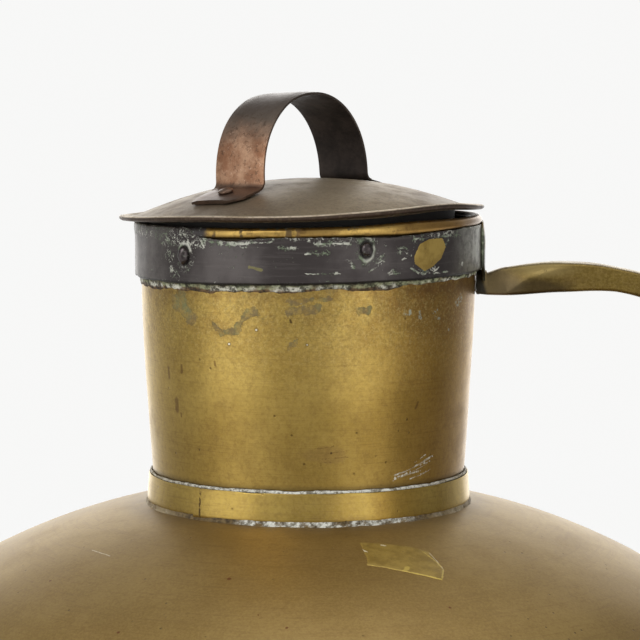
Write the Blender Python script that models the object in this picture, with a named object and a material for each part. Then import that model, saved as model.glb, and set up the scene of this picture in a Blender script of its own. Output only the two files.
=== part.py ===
"""Lidded brass milk can with a forged side handle.

Every sub-part is its own closed solid in metres, +Z up.  The can stands on
z = 0 with its axis on x = y = 0, and the side handle is on +X.
"""
from math import asin, copysign, cos, hypot, pi, radians, sin, sqrt, tan

import bmesh
import bpy
from mathutils import Matrix, Vector

# Driving dimensions
SHEET = 0.0012            # thickness of the body sheet
GAP = 0.0003              # clearance between touching pieces
FACET_SAG = 0.0007        # how far the body's flat facets lie inside its true curve
BELLY_RADIUS = 0.170
BELLY_HEIGHT = 0.1232     # height of the widest ring
SHOULDER_HEIGHT = 0.222   # where the shoulder meets the collar
HAUNCH_RADIUS = 0.0861    # vertical arc from the belly up to the shoulder
SHOULDER_RADIUS = 0.227   # flatter arc from there to the neck
HAUNCH_END = radians(61.86)
LAP_LENGTH = 0.010        # the shoulder sheet laps over the bowl
BOWL_DEPTH = 0.128        # half height of the bowl's elliptic section
BASE_THICKNESS = 0.0015
BASE_CLEAR = 0.0004       # between the bottom disc and the bowl
BASE_LIP = 0.0012         # thickness of the disc's turned-up edge

NECK_FOOT_RADIUS = 0.0576
NECK_TOP_RADIUS = 0.0620
NECK_BOTTOM = 0.2145
NECK_TOP = 0.3229
COLLAR_TOP = 0.2331
COLLAR_FOOT_RADIUS = 0.0598
COLLAR_TOP_RADIUS = 0.0591
BAND_RADIUS = 0.0640
BAND_WALL = 0.0014
BAND_BOTTOM = 0.3070
BAND_TOP = 0.3230
BEAD_RADIUS = 0.0620      # ring radius of the rolled rim
BEAD_SECTION = 0.0019     # radius of its section
BEAD_SHEET = 0.0005
WIRE_SECTION = 0.0010
MOUTH_TILT = (tan(radians(1.1)), -tan(radians(0.5)))

LID_CENTRE = (-0.0025, 0.0)
LID_RADIUS = 0.0671
LID_UNDERSIDE = 0.3283
LID_SHEET = 0.0010
HEM_THICKNESS = 0.0019
HEM_WIDTH = 0.0030
BRIM_START = 0.0616
DOME_RADIUS = 0.157
LID_TILT = (tan(radians(1.6)), -tan(radians(1.0)))
SKIRT_RADIUS = 0.0563
SKIRT_DEPTH = 0.0138      # below the brim
SKIRT_SHEET = 0.0009

STRAP_TURN = radians(53.0)
STRAP_WIDTH = 0.0220
STRAP_THICKNESS = 0.0015
STRAP_HALF_CHORD = 0.0312
STRAP_RISE = 0.0304
STRAP_PAD = 0.0122
STRAP_BEND = 0.0030
STRAP_LEAN = 0.045
STRAP_SHIFT = -0.0030     # the strap sits off the lid's centre
PAD_RIVET_SHARE = 0.42    # how far along its pad a strap rivet sits
ROVE_RADIUS = 0.0042
ROVE_THICKNESS = 0.0010

HEEL_RADIUS = 0.0620      # the bar starts here, under the hoop and close to the neck
HEEL_HEIGHT = 0.3031
BAR_HEIGHT = 0.3050       # highest point of the bar's centre line
BAR_RISE = (0.0663, 0.0930)   # the bar climbs between these distances from the axis
BAR_BEND_START = 0.101
BAR_BEND = 0.078
BAR_HALF_WIDTH = 0.0070
BAR_HALF_DEPTH = 0.0045
KNUCKLE_LENGTH = 0.0520   # stretch from the heel over which the bar is deeper
KNUCKLE_SWELL = 0.0012
PALM_THICKNESS = 0.0012   # upper palm, a tongue up the hoop
PALM_TIP_THICKNESS = 0.0006
PALM_HALF_WIDTH = 0.0110
PALM_TIP = 0.3256
PALM_THIN_START = 0.3195  # the tongue thins from here to its tip
PALM_ROOT = 0.3040
FOOT_THICKNESS = 0.0018   # lower palm, on the haunch
PATCH_THICKNESS = 0.0012
PATCH_MARGIN = 0.0040
FOOT_TOP = radians(34.0)  # the lower palm lies between these angles above the belly
FOOT_BOTTOM = radians(10.0)
START_PULL = 0.034        # how far the bar runs straight down towards its lower palm
END_PULL = 0.016
SQUARENESS = 0.55         # exponent of the bar's section: 1 is an oval, 0 a rectangle

RIVET_HEAD = 0.0028
RIVET_SHANK = 0.0012
RIVET_HOLE = 0.0015
RIVET_TAIL = 0.0019
SINK_RADIUS = 0.0021      # countersunk heads of the upper palm's rivets
SINK_DEPTH = 0.0008
BAND_RIVETS = ((-43.0, 0.3170), (18.4, 0.3188), (155.0, 0.3150), (240.0, 0.3150))
PALM_RIVET_HEIGHT = 0.3175
PALM_RIVET_SIDE = 0.0060
FOOT_RIVETS = ((16.0, -0.0055), (16.0, 0.0055), (25.0, 0.0))

SEGMENTS = 48


def clear_scene():
    for item in list(bpy.data.objects):
        bpy.data.objects.remove(item, do_unlink=True)


def metal(name, colour, roughness):
    """A metal with one colour and roughness."""
    material = bpy.data.materials.new(name)
    material.use_nodes = True
    shader = material.node_tree.nodes["Principled BSDF"]
    shader.inputs["Base Color"].default_value = (*colour, 1.0)
    shader.inputs["Roughness"].default_value = roughness
    shader.inputs["Metallic"].default_value = 1.0
    return material


def finish_object(name, builder, material):
    """Turn a bmesh into a smooth-shaded object with outward faces."""
    bmesh.ops.recalc_face_normals(builder, faces=builder.faces)
    mesh = bpy.data.meshes.new(name)
    builder.to_mesh(mesh)
    builder.free()
    mesh.shade_smooth()
    mesh.set_sharp_from_angle(angle=radians(35))
    item = bpy.data.objects.new(name, mesh)
    mesh.materials.append(material)
    bpy.context.collection.objects.link(item)
    return item


def turned(outline, segments=SEGMENTS, closed=True):
    """Turn an outline of (radius, height) points about Z.

    A closed outline is a ring's section.  An open one starts and ends on the axis.
    """
    builder = bmesh.new()
    rings = []
    for radius, height in outline:
        if radius < 1e-7:
            rings.append([builder.verts.new((0.0, 0.0, height))])
            continue
        ring = []
        for step in range(segments):
            angle = 2 * pi * step / segments
            ring.append(builder.verts.new((radius * cos(angle), radius * sin(angle), height)))
        rings.append(ring)
    pairs = list(zip(rings, rings[1:]))
    if closed:
        pairs.append((rings[-1], rings[0]))
    for low, high in pairs:
        for step in range(segments):
            follow = (step + 1) % segments
            if len(low) == 1:
                builder.faces.new((low[0], high[step], high[follow]))
            elif len(high) == 1:
                builder.faces.new((low[step], high[0], low[follow]))
            else:
                builder.faces.new((low[step], high[step], high[follow], low[follow]))
    return builder


def arc(centre, radius, start, end, steps):
    """Points on an arc, angles from +radius towards +height."""
    points = []
    for step in range(steps + 1):
        angle = start + (end - start) * step / steps
        points.append((centre[0] + radius * cos(angle), centre[1] + radius * sin(angle)))
    return points


def tilt(builder, slopes, low=None, high=None, centre=(0.0, 0.0)):
    """Shear heights so that level rings slope, fading in between two heights."""
    for vert in builder.verts:
        share = 1.0
        if low is not None:
            share = min(1.0, max(0.0, (vert.co.z - low) / (high - low)))
        rise = slopes[0] * (vert.co.x - centre[0]) + slopes[1] * (vert.co.y - centre[1])
        vert.co.z += share * rise


def mouth_rise(x, y):
    return MOUTH_TILT[0] * x + MOUTH_TILT[1] * y


# ---- body -------------------------------------------------------------------

def bowl_point(angle, offset):
    """A point on the bowl's elliptic section, moved out by an offset."""
    half_width = HAUNCH_RADIUS - SHEET - GAP
    centre = BELLY_RADIUS - HAUNCH_RADIUS
    normal = (BOWL_DEPTH * cos(angle), half_width * sin(angle))
    length = hypot(*normal)
    radius = centre + half_width * cos(angle) + offset * normal[0] / length
    height = BELLY_HEIGHT + BOWL_DEPTH * sin(angle) + offset * normal[1] / length
    return (radius, height)


def bowl_arc(start, end, steps, offset):
    return [bowl_point(start + (end - start) * step / steps, offset) for step in range(steps + 1)]


def lower_bowl(material):
    """Lower half of the body, one raised sheet with a flat bottom."""
    floor = BASE_THICKNESS + BASE_CLEAR
    end = -asin((BELLY_HEIGHT - floor) / BOWL_DEPTH)
    outline = [(0.0, floor)]
    outline += bowl_arc(end, 0.0, 8, 0.0)
    outline += bowl_arc(0.0, end + radians(0.8), 8, -SHEET)
    outline.append((0.0, outline[-1][1]))
    return finish_object("lower_bowl", turned(outline, closed=False), material)


def base_disc(material):
    """Flat bottom disc whose edge is turned up round the bowl."""
    end = -asin((BELLY_HEIGHT - BASE_THICKNESS - BASE_CLEAR) / BOWL_DEPTH)
    corner = bowl_point(end, 0.0)[0]
    rim = end + radians(9.0)
    outline = [(0.0, 0.0), (corner - 0.8 * BASE_LIP, 0.0)]
    outline += bowl_arc(end + radians(1.5), rim, 3, BASE_CLEAR + BASE_LIP)
    outline += bowl_arc(rim, end + radians(1.0), 3, BASE_CLEAR)
    outline += [(corner, BASE_THICKNESS), (0.0, BASE_THICKNESS)]
    return finish_object("base_disc", turned(outline, closed=False), material)


def shoulder_section(offset, steps):
    """Section of the shoulder from the lap up to the neck hole, moved in by an offset."""
    centre = (BELLY_RADIUS - HAUNCH_RADIUS, BELLY_HEIGHT)
    reach = SHOULDER_RADIUS - HAUNCH_RADIUS
    upper = (centre[0] - reach * cos(HAUNCH_END), centre[1] - reach * sin(HAUNCH_END))
    hole = NECK_FOOT_RADIUS + GAP
    end = pi / 2 - asin((hole - upper[0]) / (SHOULDER_RADIUS - offset))
    points = [(BELLY_RADIUS - offset, BELLY_HEIGHT - LAP_LENGTH)]
    points += arc(centre, HAUNCH_RADIUS - offset, 0.0, HAUNCH_END, steps)
    points += arc(upper, SHOULDER_RADIUS - offset, HAUNCH_END, end, steps // 2 + 1)[1:]
    return points


def shoulder_shell(material):
    """Upper half of the body, lapped over the bowl at the belly."""
    outline = shoulder_section(0.0, 8) + shoulder_section(SHEET, 8)[::-1]
    return finish_object("shoulder_shell", turned(outline), material)


# ---- neck and mouth ---------------------------------------------------------

def neck_radius(height):
    """Outer radius of the neck."""
    share = max(0.0, (height - COLLAR_TOP) / (NECK_TOP - COLLAR_TOP))
    return NECK_FOOT_RADIUS + (NECK_TOP_RADIUS - NECK_FOOT_RADIUS) * share


def neck_tube(material):
    """Tapered neck that stands through the shoulder."""
    heights = (NECK_BOTTOM, COLLAR_TOP, 0.5 * (COLLAR_TOP + NECK_TOP), NECK_TOP)
    outline = [(neck_radius(height), height) for height in heights]
    outline += [(neck_radius(height) - SHEET, height) for height in heights[::-1]]
    builder = turned(outline)
    tilt(builder, MOUTH_TILT, COLLAR_TOP, NECK_TOP)
    return finish_object("neck_tube", builder, material)


def neck_collar(material):
    """Strip round the neck's foot."""
    inner = NECK_FOOT_RADIUS + GAP
    bottom = SHOULDER_HEIGHT + 2.5 * GAP
    outline = [(inner, bottom), (COLLAR_FOOT_RADIUS, bottom), (COLLAR_TOP_RADIUS, COLLAR_TOP),
               (inner, COLLAR_TOP)]
    return finish_object("neck_collar", turned(outline), material)


def rim_band(material):
    """Hoop round the top of the neck."""
    inner = BAND_RADIUS - BAND_WALL
    outline = [(inner, BAND_BOTTOM), (BAND_RADIUS, BAND_BOTTOM), (BAND_RADIUS, BAND_TOP),
               (inner, BAND_TOP)]
    builder = turned(outline)
    tilt(builder, MOUTH_TILT)
    return finish_object("rim_band", builder, material)


def bead_height():
    return NECK_TOP + GAP + BEAD_SECTION


def rim_bead(material):
    """The neck's edge rolled over a wire, open on its inner lower side."""
    centre = (BEAD_RADIUS, bead_height())
    start = radians(-100)
    end = radians(190)
    outline = arc(centre, BEAD_SECTION, start, end, 9)
    outline += arc(centre, BEAD_SECTION - BEAD_SHEET, end, start, 9)
    builder = turned(outline)
    tilt(builder, MOUTH_TILT)
    return finish_object("rim_bead", builder, material)


def rim_wire(material):
    """Wire inside the rolled edge."""
    outline = arc((BEAD_RADIUS, bead_height()), WIRE_SECTION, 0.0, 2 * pi * 5 / 6, 5)
    builder = turned(outline)
    tilt(builder, MOUTH_TILT)
    return finish_object("rim_wire", builder, material)


# ---- lid --------------------------------------------------------------------

def lid_height(radius):
    """Height of the lid's upper face above its brim's underside, before tilting."""
    if radius >= BRIM_START:
        return LID_SHEET
    brim = sqrt(DOME_RADIUS ** 2 - BRIM_START ** 2)
    return LID_SHEET + sqrt(DOME_RADIUS ** 2 - radius ** 2) - brim


def lid_shell(material):
    """Raised lid with a flat brim and a folded edge."""
    radii = [BRIM_START * share / 6 for share in range(7)] + [BRIM_START + 0.001]
    hem = LID_RADIUS - HEM_WIDTH
    outline = [(radius, LID_UNDERSIDE + lid_height(radius)) for radius in radii]
    outline += [(hem, LID_UNDERSIDE + LID_SHEET), (hem + 0.0006, LID_UNDERSIDE + HEM_THICKNESS),
                (LID_RADIUS - 0.0006, LID_UNDERSIDE + HEM_THICKNESS),
                (LID_RADIUS, LID_UNDERSIDE + 0.5 * HEM_THICKNESS), (LID_RADIUS - 0.0006, LID_UNDERSIDE)]
    outline += [(radius, LID_UNDERSIDE + lid_height(radius) - LID_SHEET) for radius in radii[::-1]]
    builder = turned(outline, closed=False)
    move_to_lid(builder)
    return finish_object("lid_shell", builder, material)


def move_to_lid(builder):
    """Shift a piece from the can's axis to the lid's centre and tilt it with the lid."""
    bmesh.ops.translate(builder, vec=(*LID_CENTRE, 0.0), verts=builder.verts)
    tilt(builder, LID_TILT, centre=LID_CENTRE)


def lid_skirt(material):
    """Ring under the lid."""
    inner = SKIRT_RADIUS - SKIRT_SHEET
    bottom = LID_UNDERSIDE - SKIRT_DEPTH
    top = LID_UNDERSIDE + lid_height(SKIRT_RADIUS) - LID_SHEET - 2 * GAP
    outline = [(inner, bottom), (SKIRT_RADIUS, bottom), (SKIRT_RADIUS, top), (inner, top)]
    builder = turned(outline)
    move_to_lid(builder)
    return finish_object("lid_skirt", builder, material)


def loft(path, section):
    """Join the sections given for each point of a path into one closed solid.

    path is a list of points; section(index, point, tangent) gives a ring of points.
    """
    builder = bmesh.new()
    rings = []
    for index, point in enumerate(path):
        before = path[max(0, index - 1)]
        after = path[min(len(path) - 1, index + 1)]
        tangent = (after - before).normalized()
        rings.append([builder.verts.new(corner) for corner in section(index, point, tangent)])
    for low, high in zip(rings, rings[1:]):
        for step in range(len(low)):
            follow = (step + 1) % len(low)
            builder.faces.new((low[step], low[follow], high[follow], high[step]))
    builder.faces.new(rings[0])
    builder.faces.new(rings[-1][::-1])
    return builder


def strap_path():
    """Centre line of the strap across the lid: (along, height over the lid's brim)."""
    rest = GAP + 0.5 * STRAP_THICKNESS
    fold = STRAP_HALF_CHORD + STRAP_BEND
    points = []
    for step in range(4):
        along = fold + STRAP_PAD * (1 - step / 4)
        points.append((along, lid_height(along) + rest))
    fold_height = lid_height(fold) + rest
    centre = (fold, fold_height + STRAP_BEND)
    points += arc(centre, STRAP_BEND, radians(-90), radians(-180), 4)
    base = centre[1]
    for step in range(1, 12):
        angle = pi * step / 24
        points.append((STRAP_HALF_CHORD * cos(angle), base + STRAP_RISE * sin(angle)))
    left = [(-along, height) for along, height in points]
    return left + [(0.0, base + STRAP_RISE)] + points[::-1]


def lid_strap(material):
    """Strap handle: two pads on the lid and a half-elliptic arch between them."""
    line = strap_path()
    path = [Vector((along, 0.0, height)) for along, height in line]
    fold = STRAP_HALF_CHORD + STRAP_BEND
    columns = 5

    def section(index, point, tangent):
        normal = Vector((-tangent.z, 0.0, tangent.x)) * (0.5 * STRAP_THICKNESS)
        ring = []
        for side in (1, -1):
            for column in range(columns):
                across = side * STRAP_WIDTH * (column / (columns - 1) - 0.5)
                corner = point + side * normal + Vector((0.0, across, 0.0))
                if abs(point.x) > fold - 1e-6:
                    radius = hypot(point.x, across)
                    corner.z += lid_height(radius) - lid_height(abs(point.x))
                ring.append(corner)
        return ring

    builder = loft(path, section)
    turn = Matrix.Rotation(STRAP_TURN, 4, "Z")
    bmesh.ops.transform(builder, matrix=turn, verts=builder.verts)
    for vert in builder.verts:
        lean = max(0.0, vert.co.z - lid_height(0.0))
        vert.co.z -= STRAP_SHIFT * vert.co.x / DOME_RADIUS
        vert.co.x += STRAP_SHIFT - STRAP_LEAN * lean
    bmesh.ops.translate(builder, vec=(0.0, 0.0, LID_UNDERSIDE), verts=builder.verts)
    move_to_lid(builder)
    return finish_object("lid_strap", builder, material)


# ---- side handle ------------------------------------------------------------

def haunch_point(angle, offset):
    """A point over the haunch at an angle above the belly, moved out by an offset."""
    centre = BELLY_RADIUS - HAUNCH_RADIUS
    reach = HAUNCH_RADIUS + offset
    return Vector((centre + reach * cos(angle), 0.0, BELLY_HEIGHT + reach * sin(angle)))


def ease(share):
    """Smooth change from 0 to 1."""
    share = min(1.0, max(0.0, share))
    return share * share * (3 - 2 * share)


def bezier(start, pull_start, pull_end, end, steps):
    """Points on a cubic curve, without its first point."""
    points = []
    for step in range(1, steps + 1):
        share = step / steps
        rest = 1 - share
        points.append(rest ** 3 * start + 3 * rest * rest * share * pull_start
                      + 3 * rest * share * share * pull_end + share ** 3 * end)
    return points


def bar_stations():
    """Centre line of the bar and its lower palm, with half depth and half width."""
    stations = []
    steps = 8
    for step in range(steps):
        x = HEEL_RADIUS + (BAR_BEND_START - HEEL_RADIUS) * step / steps
        climb = ease((x - BAR_RISE[0]) / (BAR_RISE[1] - BAR_RISE[0]))
        swell = sin(pi * (x - HEEL_RADIUS) / KNUCKLE_LENGTH)
        point = Vector((x, 0.0, HEEL_HEIGHT + (BAR_HEIGHT - HEEL_HEIGHT) * climb))
        stations.append((point, BAR_HALF_DEPTH + KNUCKLE_SWELL * swell, BAR_HALF_WIDTH))
    centre = Vector((BAR_BEND_START, 0.0, BAR_HEIGHT - BAR_BEND))
    steps = 10
    for step in range(steps + 1):
        angle = 0.5 * pi * (1 - step / steps)
        point = centre + BAR_BEND * Vector((cos(angle), 0.0, sin(angle)))
        swell = sin(pi * min(1.0, (point.x - HEEL_RADIUS) / KNUCKLE_LENGTH))
        stations.append((point, BAR_HALF_DEPTH + KNUCKLE_SWELL * swell, BAR_HALF_WIDTH))
    half_foot = 0.5 * FOOT_THICKNESS
    seat = GAP + PATCH_THICKNESS + GAP + half_foot
    start = stations[-1][0]
    end = haunch_point(FOOT_TOP, seat)
    slope = Vector((sin(FOOT_TOP), 0.0, -cos(FOOT_TOP)))
    steps = 8
    curve = bezier(start, start - Vector((0.0, 0.0, START_PULL)), end - END_PULL * slope, end, steps)
    for step, point in enumerate(curve, 1):
        share = (step / steps) ** 2
        depth = BAR_HALF_DEPTH + (half_foot - BAR_HALF_DEPTH) * share
        width = BAR_HALF_WIDTH + (PALM_HALF_WIDTH - BAR_HALF_WIDTH) * share
        stations.append((point, depth, width))
    steps = 6
    for step in range(1, steps + 1):
        angle = FOOT_TOP + (FOOT_BOTTOM - FOOT_TOP) * step / steps
        stations.append((haunch_point(angle, seat), half_foot, PALM_HALF_WIDTH))
    return stations


def upper_palm(material):
    """The bar's upper palm: a tongue that stands on the heel and lies along the hoop."""
    heights = (PALM_TIP, PALM_THIN_START, 0.5 * (PALM_THIN_START + BAND_BOTTOM),
               BAND_BOTTOM + 0.0030, PALM_ROOT)
    thicknesses = (PALM_TIP_THICKNESS, PALM_THICKNESS, PALM_THICKNESS, PALM_THICKNESS, PALM_THICKNESS)
    widths = (0.8 * PALM_HALF_WIDTH, PALM_HALF_WIDTH, PALM_HALF_WIDTH, PALM_HALF_WIDTH,
              0.85 * BAR_HALF_WIDTH)
    inner = BAND_RADIUS + GAP
    columns = 5

    def section(index, point, tangent):
        ring = []
        for side in (1, -1):
            x = inner + (thicknesses[index] if side > 0 else 0.0)
            for column in range(columns):
                across = side * widths[index] * (2 * column / (columns - 1) - 1)
                ring.append(Vector((x, across, point.z)))
        return ring

    builder = loft([Vector((inner, 0.0, height)) for height in heights], section)
    wrap_about_axis(builder)
    return finish_object("upper_palm_shape", builder, material)


def side_handle(material):
    """Forged bar with a tongue up the hoop and a palm on the belly."""
    stations = bar_stations()
    path = [station[0] for station in stations]
    sides = 12

    def section(index, point, tangent):
        outward = Vector((-tangent.z, 0.0, tangent.x))
        depth, width = stations[index][1:]
        ring = []
        for side in range(sides):
            angle = 2 * pi * (side + 0.5) / sides
            along = cos(angle)
            across = sin(angle)
            along = copysign(abs(along) ** SQUARENESS, along)
            across = copysign(abs(across) ** SQUARENESS, across)
            corner = point + outward * along * depth
            corner.y = across * width
            ring.append(corner)
        return ring

    builder = loft(path, section)
    wrap_about_axis(builder)
    bar = finish_object("side_handle", builder, material)
    palm = upper_palm(material)
    palm.hide_render = True
    palm.display_type = "WIRE"
    weld = bar.modifiers.new("upper_palm", "BOOLEAN")
    weld.operation = "UNION"
    weld.solver = "EXACT"
    weld.object = palm
    return bar


def wrap_about_axis(builder):
    """Bend a piece that lies across the X axis round the can's axis."""
    for vert in builder.verts:
        radius = vert.co.x
        angle = vert.co.y / radius
        vert.co.x = radius * cos(angle)
        vert.co.y = radius * sin(angle)


def belly_patch(material):
    """Stiffening patch between the shoulder and the lower palm."""
    path = []
    for step in range(7):
        angle = FOOT_TOP + radians(3) + (FOOT_BOTTOM - FOOT_TOP - radians(6)) * step / 6
        path.append(haunch_point(angle, GAP + 0.0001 + 0.5 * PATCH_THICKNESS))
    half_width = PALM_HALF_WIDTH + PATCH_MARGIN
    columns = 5

    def section(index, point, tangent):
        outward = Vector((-tangent.z, 0.0, tangent.x)) * (0.5 * PATCH_THICKNESS)
        ring = []
        for side in (1, -1):
            for column in range(columns):
                corner = point + side * outward
                corner.y = side * half_width * (2 * column / (columns - 1) - 1)
                ring.append(corner)
        return ring

    builder = loft(path, section)
    wrap_about_axis(builder)
    return finish_object("belly_patch", builder, material)


# ---- rivets -----------------------------------------------------------------

def rivet_solid(grip):
    """A rivet along +Z: its domed head above z = 0 and its closed end below -grip."""
    rise = 0.5 * RIVET_HEAD
    outline = tail_outline(grip)
    outline += [(RIVET_SHANK, 0.0), (RIVET_HEAD, 0.0), (0.8 * RIVET_HEAD, 0.6 * rise),
                (0.45 * RIVET_HEAD, 0.92 * rise), (0.0, rise)]
    return turned(outline, segments=10, closed=False)


def sunk_rivet_solid(grip):
    """A rivet along +Z with a countersunk head, filed level with z = 0."""
    outline = tail_outline(grip)
    outline += [(RIVET_SHANK, -SINK_DEPTH), (SINK_RADIUS, 0.0), (0.0, 0.0)]
    return turned(outline, segments=10, closed=False)


def tail_outline(grip):
    """The closed end of a rivet, up to the foot of its shank."""
    return [(0.0, -grip - 0.0008), (0.7 * RIVET_TAIL, -grip - 0.0007), (RIVET_TAIL, -grip),
            (RIVET_SHANK, -grip)]


def placing(point, direction):
    """Matrix that stands +Z along a direction at a point."""
    turn = Vector((0.0, 0.0, 1.0)).rotation_difference(direction.normalized())
    return Matrix.Translation(point) @ turn.to_matrix().to_4x4()


def place_rivets(name, places, builder_of, grip, material):
    for index, (point, direction) in enumerate(places, 1):
        item = finish_object(f"{name}_{index}", builder_of(grip), material)
        item.matrix_world = placing(point, direction)


def plain_hole(reach=0.010):
    return [(0.0, -reach), (RIVET_HOLE, -reach), (RIVET_HOLE, reach), (0.0, reach)]


def sunk_hole(reach=0.010):
    """A clearance hole with a cone for a countersunk head."""
    mouth = SINK_RADIUS + GAP
    return [(0.0, -reach), (RIVET_HOLE, -reach), (RIVET_HOLE, -SINK_DEPTH), (mouth, 0.0),
            (mouth, 0.002), (0.0, 0.002)]


def drill(name, places, targets, outline):
    """Cut a clearance hole for each rivet through the targets."""
    for index, (point, direction) in enumerate(places, 1):
        builder = turned(outline, segments=10, closed=False)
        cutter = finish_object(f"{name}_cutter_{index}", builder, None)
        cutter.matrix_world = placing(point, direction)
        cutter.hide_render = True
        cutter.display_type = "WIRE"
        for target in targets:
            cut = target.modifiers.new(f"hole_{name}_{index}", "BOOLEAN")
            cut.operation = "DIFFERENCE"
            cut.solver = "EXACT"
            cut.object = cutter


def band_rivets(material, targets):
    """Rivets through the hoop and the neck."""
    places = []
    for angle, height in BAND_RIVETS:
        outward = Vector((sin(radians(angle)), -cos(radians(angle)), 0.0))
        point = outward * (BAND_RADIUS + GAP)
        point.z = height + mouth_rise(point.x, point.y)
        places.append((point, outward))
    lowest = min(height for angle, height in BAND_RIVETS)
    grip = BAND_RADIUS + 2 * GAP - neck_radius(lowest) + SHEET
    place_rivets("band_rivet", places, rivet_solid, grip, material)
    drill("band", places, targets, plain_hole())


def upper_palm_rivets(material, targets):
    """Two countersunk rivets through the upper palm, the hoop and the neck."""
    places = []
    radius = BAND_RADIUS + GAP + PALM_THICKNESS
    for side in (-1, 1):
        angle = side * PALM_RIVET_SIDE / radius
        outward = Vector((cos(angle), sin(angle), 0.0))
        point = outward * radius
        point.z = PALM_RIVET_HEIGHT
        places.append((point, outward))
    grip = radius + GAP - neck_radius(PALM_RIVET_HEIGHT) + SHEET
    place_rivets("handle_top_rivet", places, sunk_rivet_solid, grip, material)
    drill("top", places, targets, sunk_hole())


def lower_palm_rivets(material, targets):
    """Three rivets through the lower palm, the patch and the shoulder."""
    places = []
    seat = 3 * GAP + PATCH_THICKNESS + FOOT_THICKNESS
    for rise, across in FOOT_RIVETS:
        angle = radians(rise)
        point = haunch_point(angle, seat)
        turn = across / point.x
        outward = Vector((cos(angle) * cos(turn), cos(angle) * sin(turn), sin(angle)))
        places.append((Vector((point.x * cos(turn), point.x * sin(turn), point.z)), outward))
    grip = seat + SHEET + GAP + FACET_SAG
    place_rivets("handle_foot_rivet", places, rivet_solid, grip, material)
    drill("foot", places, targets, plain_hole())


def strap_rivets(material, strap, lid):
    """One rivet through each strap pad, closed over a rove under the lid."""
    places = []
    for side in (-1, 1):
        along = side * (STRAP_HALF_CHORD + STRAP_BEND + PAD_RIVET_SHARE * STRAP_PAD)
        x = along * cos(STRAP_TURN) + STRAP_SHIFT
        y = along * sin(STRAP_TURN)
        radius = hypot(x, y)
        height = lid_height(radius) + 2 * GAP + STRAP_THICKNESS
        upright = sqrt(1 - (radius / DOME_RADIUS) ** 2)
        outward = Vector((x / DOME_RADIUS - LID_TILT[0], y / DOME_RADIUS - LID_TILT[1], upright))
        outward.normalize()
        point = Vector((x + LID_CENTRE[0], y + LID_CENTRE[1],
                        LID_UNDERSIDE + height + LID_TILT[0] * x + LID_TILT[1] * y))
        places.append((point, outward))
    grip = 5 * GAP + STRAP_THICKNESS + LID_SHEET + ROVE_THICKNESS
    place_rivets("strap_rivet", places, rivet_solid, grip, material)
    outline = [(RIVET_HOLE, 0.0), (ROVE_RADIUS, 0.0), (ROVE_RADIUS, ROVE_THICKNESS),
               (RIVET_HOLE, ROVE_THICKNESS)]
    for index, (point, outward) in enumerate(places, 1):
        washer = finish_object(f"strap_rove_{index}", turned(outline, segments=12), material)
        washer.matrix_world = placing(point - outward * (grip - GAP), outward)
    drill("strap", places, (strap, lid), plain_hole())


def build():
    clear_scene()
    brass = metal("aged_brass", (0.36, 0.25, 0.08), 0.42)
    iron = metal("dark_iron", (0.10, 0.09, 0.09), 0.55)
    bronze = metal("brown_copper", (0.15, 0.11, 0.09), 0.45)
    copper = metal("worn_copper", (0.25, 0.13, 0.09), 0.40)

    lower_bowl(brass)
    base_disc(brass)
    shoulder = shoulder_shell(brass)
    neck = neck_tube(brass)
    neck_collar(brass)
    rim_bead(brass)
    rim_wire(iron)
    band = rim_band(iron)
    band_rivets(iron, (band, neck))

    handle = side_handle(brass)
    patch = belly_patch(brass)
    upper_palm_rivets(brass, (handle, band, neck))
    lower_palm_rivets(brass, (handle, patch, shoulder))

    lid = lid_shell(bronze)
    lid_skirt(bronze)
    strap = lid_strap(copper)
    strap_rivets(copper, strap, lid)


build()
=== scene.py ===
"""Looks of the lidded brass milk can: fine meshes, aged metals, studio and camera."""

from math import asin, atan2, cos, degrees, exp, hypot, pi, radians, sin, sqrt, tan

import bmesh
import bpy
import numpy as np
from mathutils import Matrix, Vector, noise


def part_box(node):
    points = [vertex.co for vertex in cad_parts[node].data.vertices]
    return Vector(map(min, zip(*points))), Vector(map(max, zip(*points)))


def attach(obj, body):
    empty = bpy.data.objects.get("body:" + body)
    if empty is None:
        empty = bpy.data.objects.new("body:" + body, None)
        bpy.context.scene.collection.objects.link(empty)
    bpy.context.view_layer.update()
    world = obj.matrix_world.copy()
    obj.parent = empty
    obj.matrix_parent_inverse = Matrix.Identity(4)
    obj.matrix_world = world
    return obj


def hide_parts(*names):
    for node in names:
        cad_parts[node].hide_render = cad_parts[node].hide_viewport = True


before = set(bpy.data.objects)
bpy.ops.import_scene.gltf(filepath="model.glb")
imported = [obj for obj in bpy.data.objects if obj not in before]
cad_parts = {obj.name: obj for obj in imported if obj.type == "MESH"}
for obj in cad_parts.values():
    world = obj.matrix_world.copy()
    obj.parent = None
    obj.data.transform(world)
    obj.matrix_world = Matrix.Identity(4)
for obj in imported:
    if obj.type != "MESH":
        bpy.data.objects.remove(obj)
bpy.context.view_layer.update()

MM = 0.001

# ---- sizes read from the frame ----------------------------------------------

SHEET = 1.2 * MM
BELLY_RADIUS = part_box("shoulder_shell")[1].y
BELLY_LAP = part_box("shoulder_shell")[0].z
BELLY_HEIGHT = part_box("lower_bowl")[1].z
COLLAR_BOTTOM, COLLAR_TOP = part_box("neck_collar")[0].z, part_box("neck_collar")[1].z
COLLAR_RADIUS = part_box("neck_collar")[1].y
NECK_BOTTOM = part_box("neck_tube")[0].z
BAND_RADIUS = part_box("rim_band")[1].y
LID_LOW, LID_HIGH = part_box("lid_shell")
LID_CENTRE = 0.5 * (LID_LOW + LID_HIGH)
LID_RADIUS = 0.5 * (LID_HIGH.x - LID_LOW.x)

# ---- shape constants ----------------------------------------------------------
# They follow the part. A few differ by a millimetre or so, inside its box: BAND_TOP, BEAD_HALF_*,
# HEM_WIDTH, DOME_RADIUS (a little flatter), STRAP_PAD and BAR_HALF_DEPTH.

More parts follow.
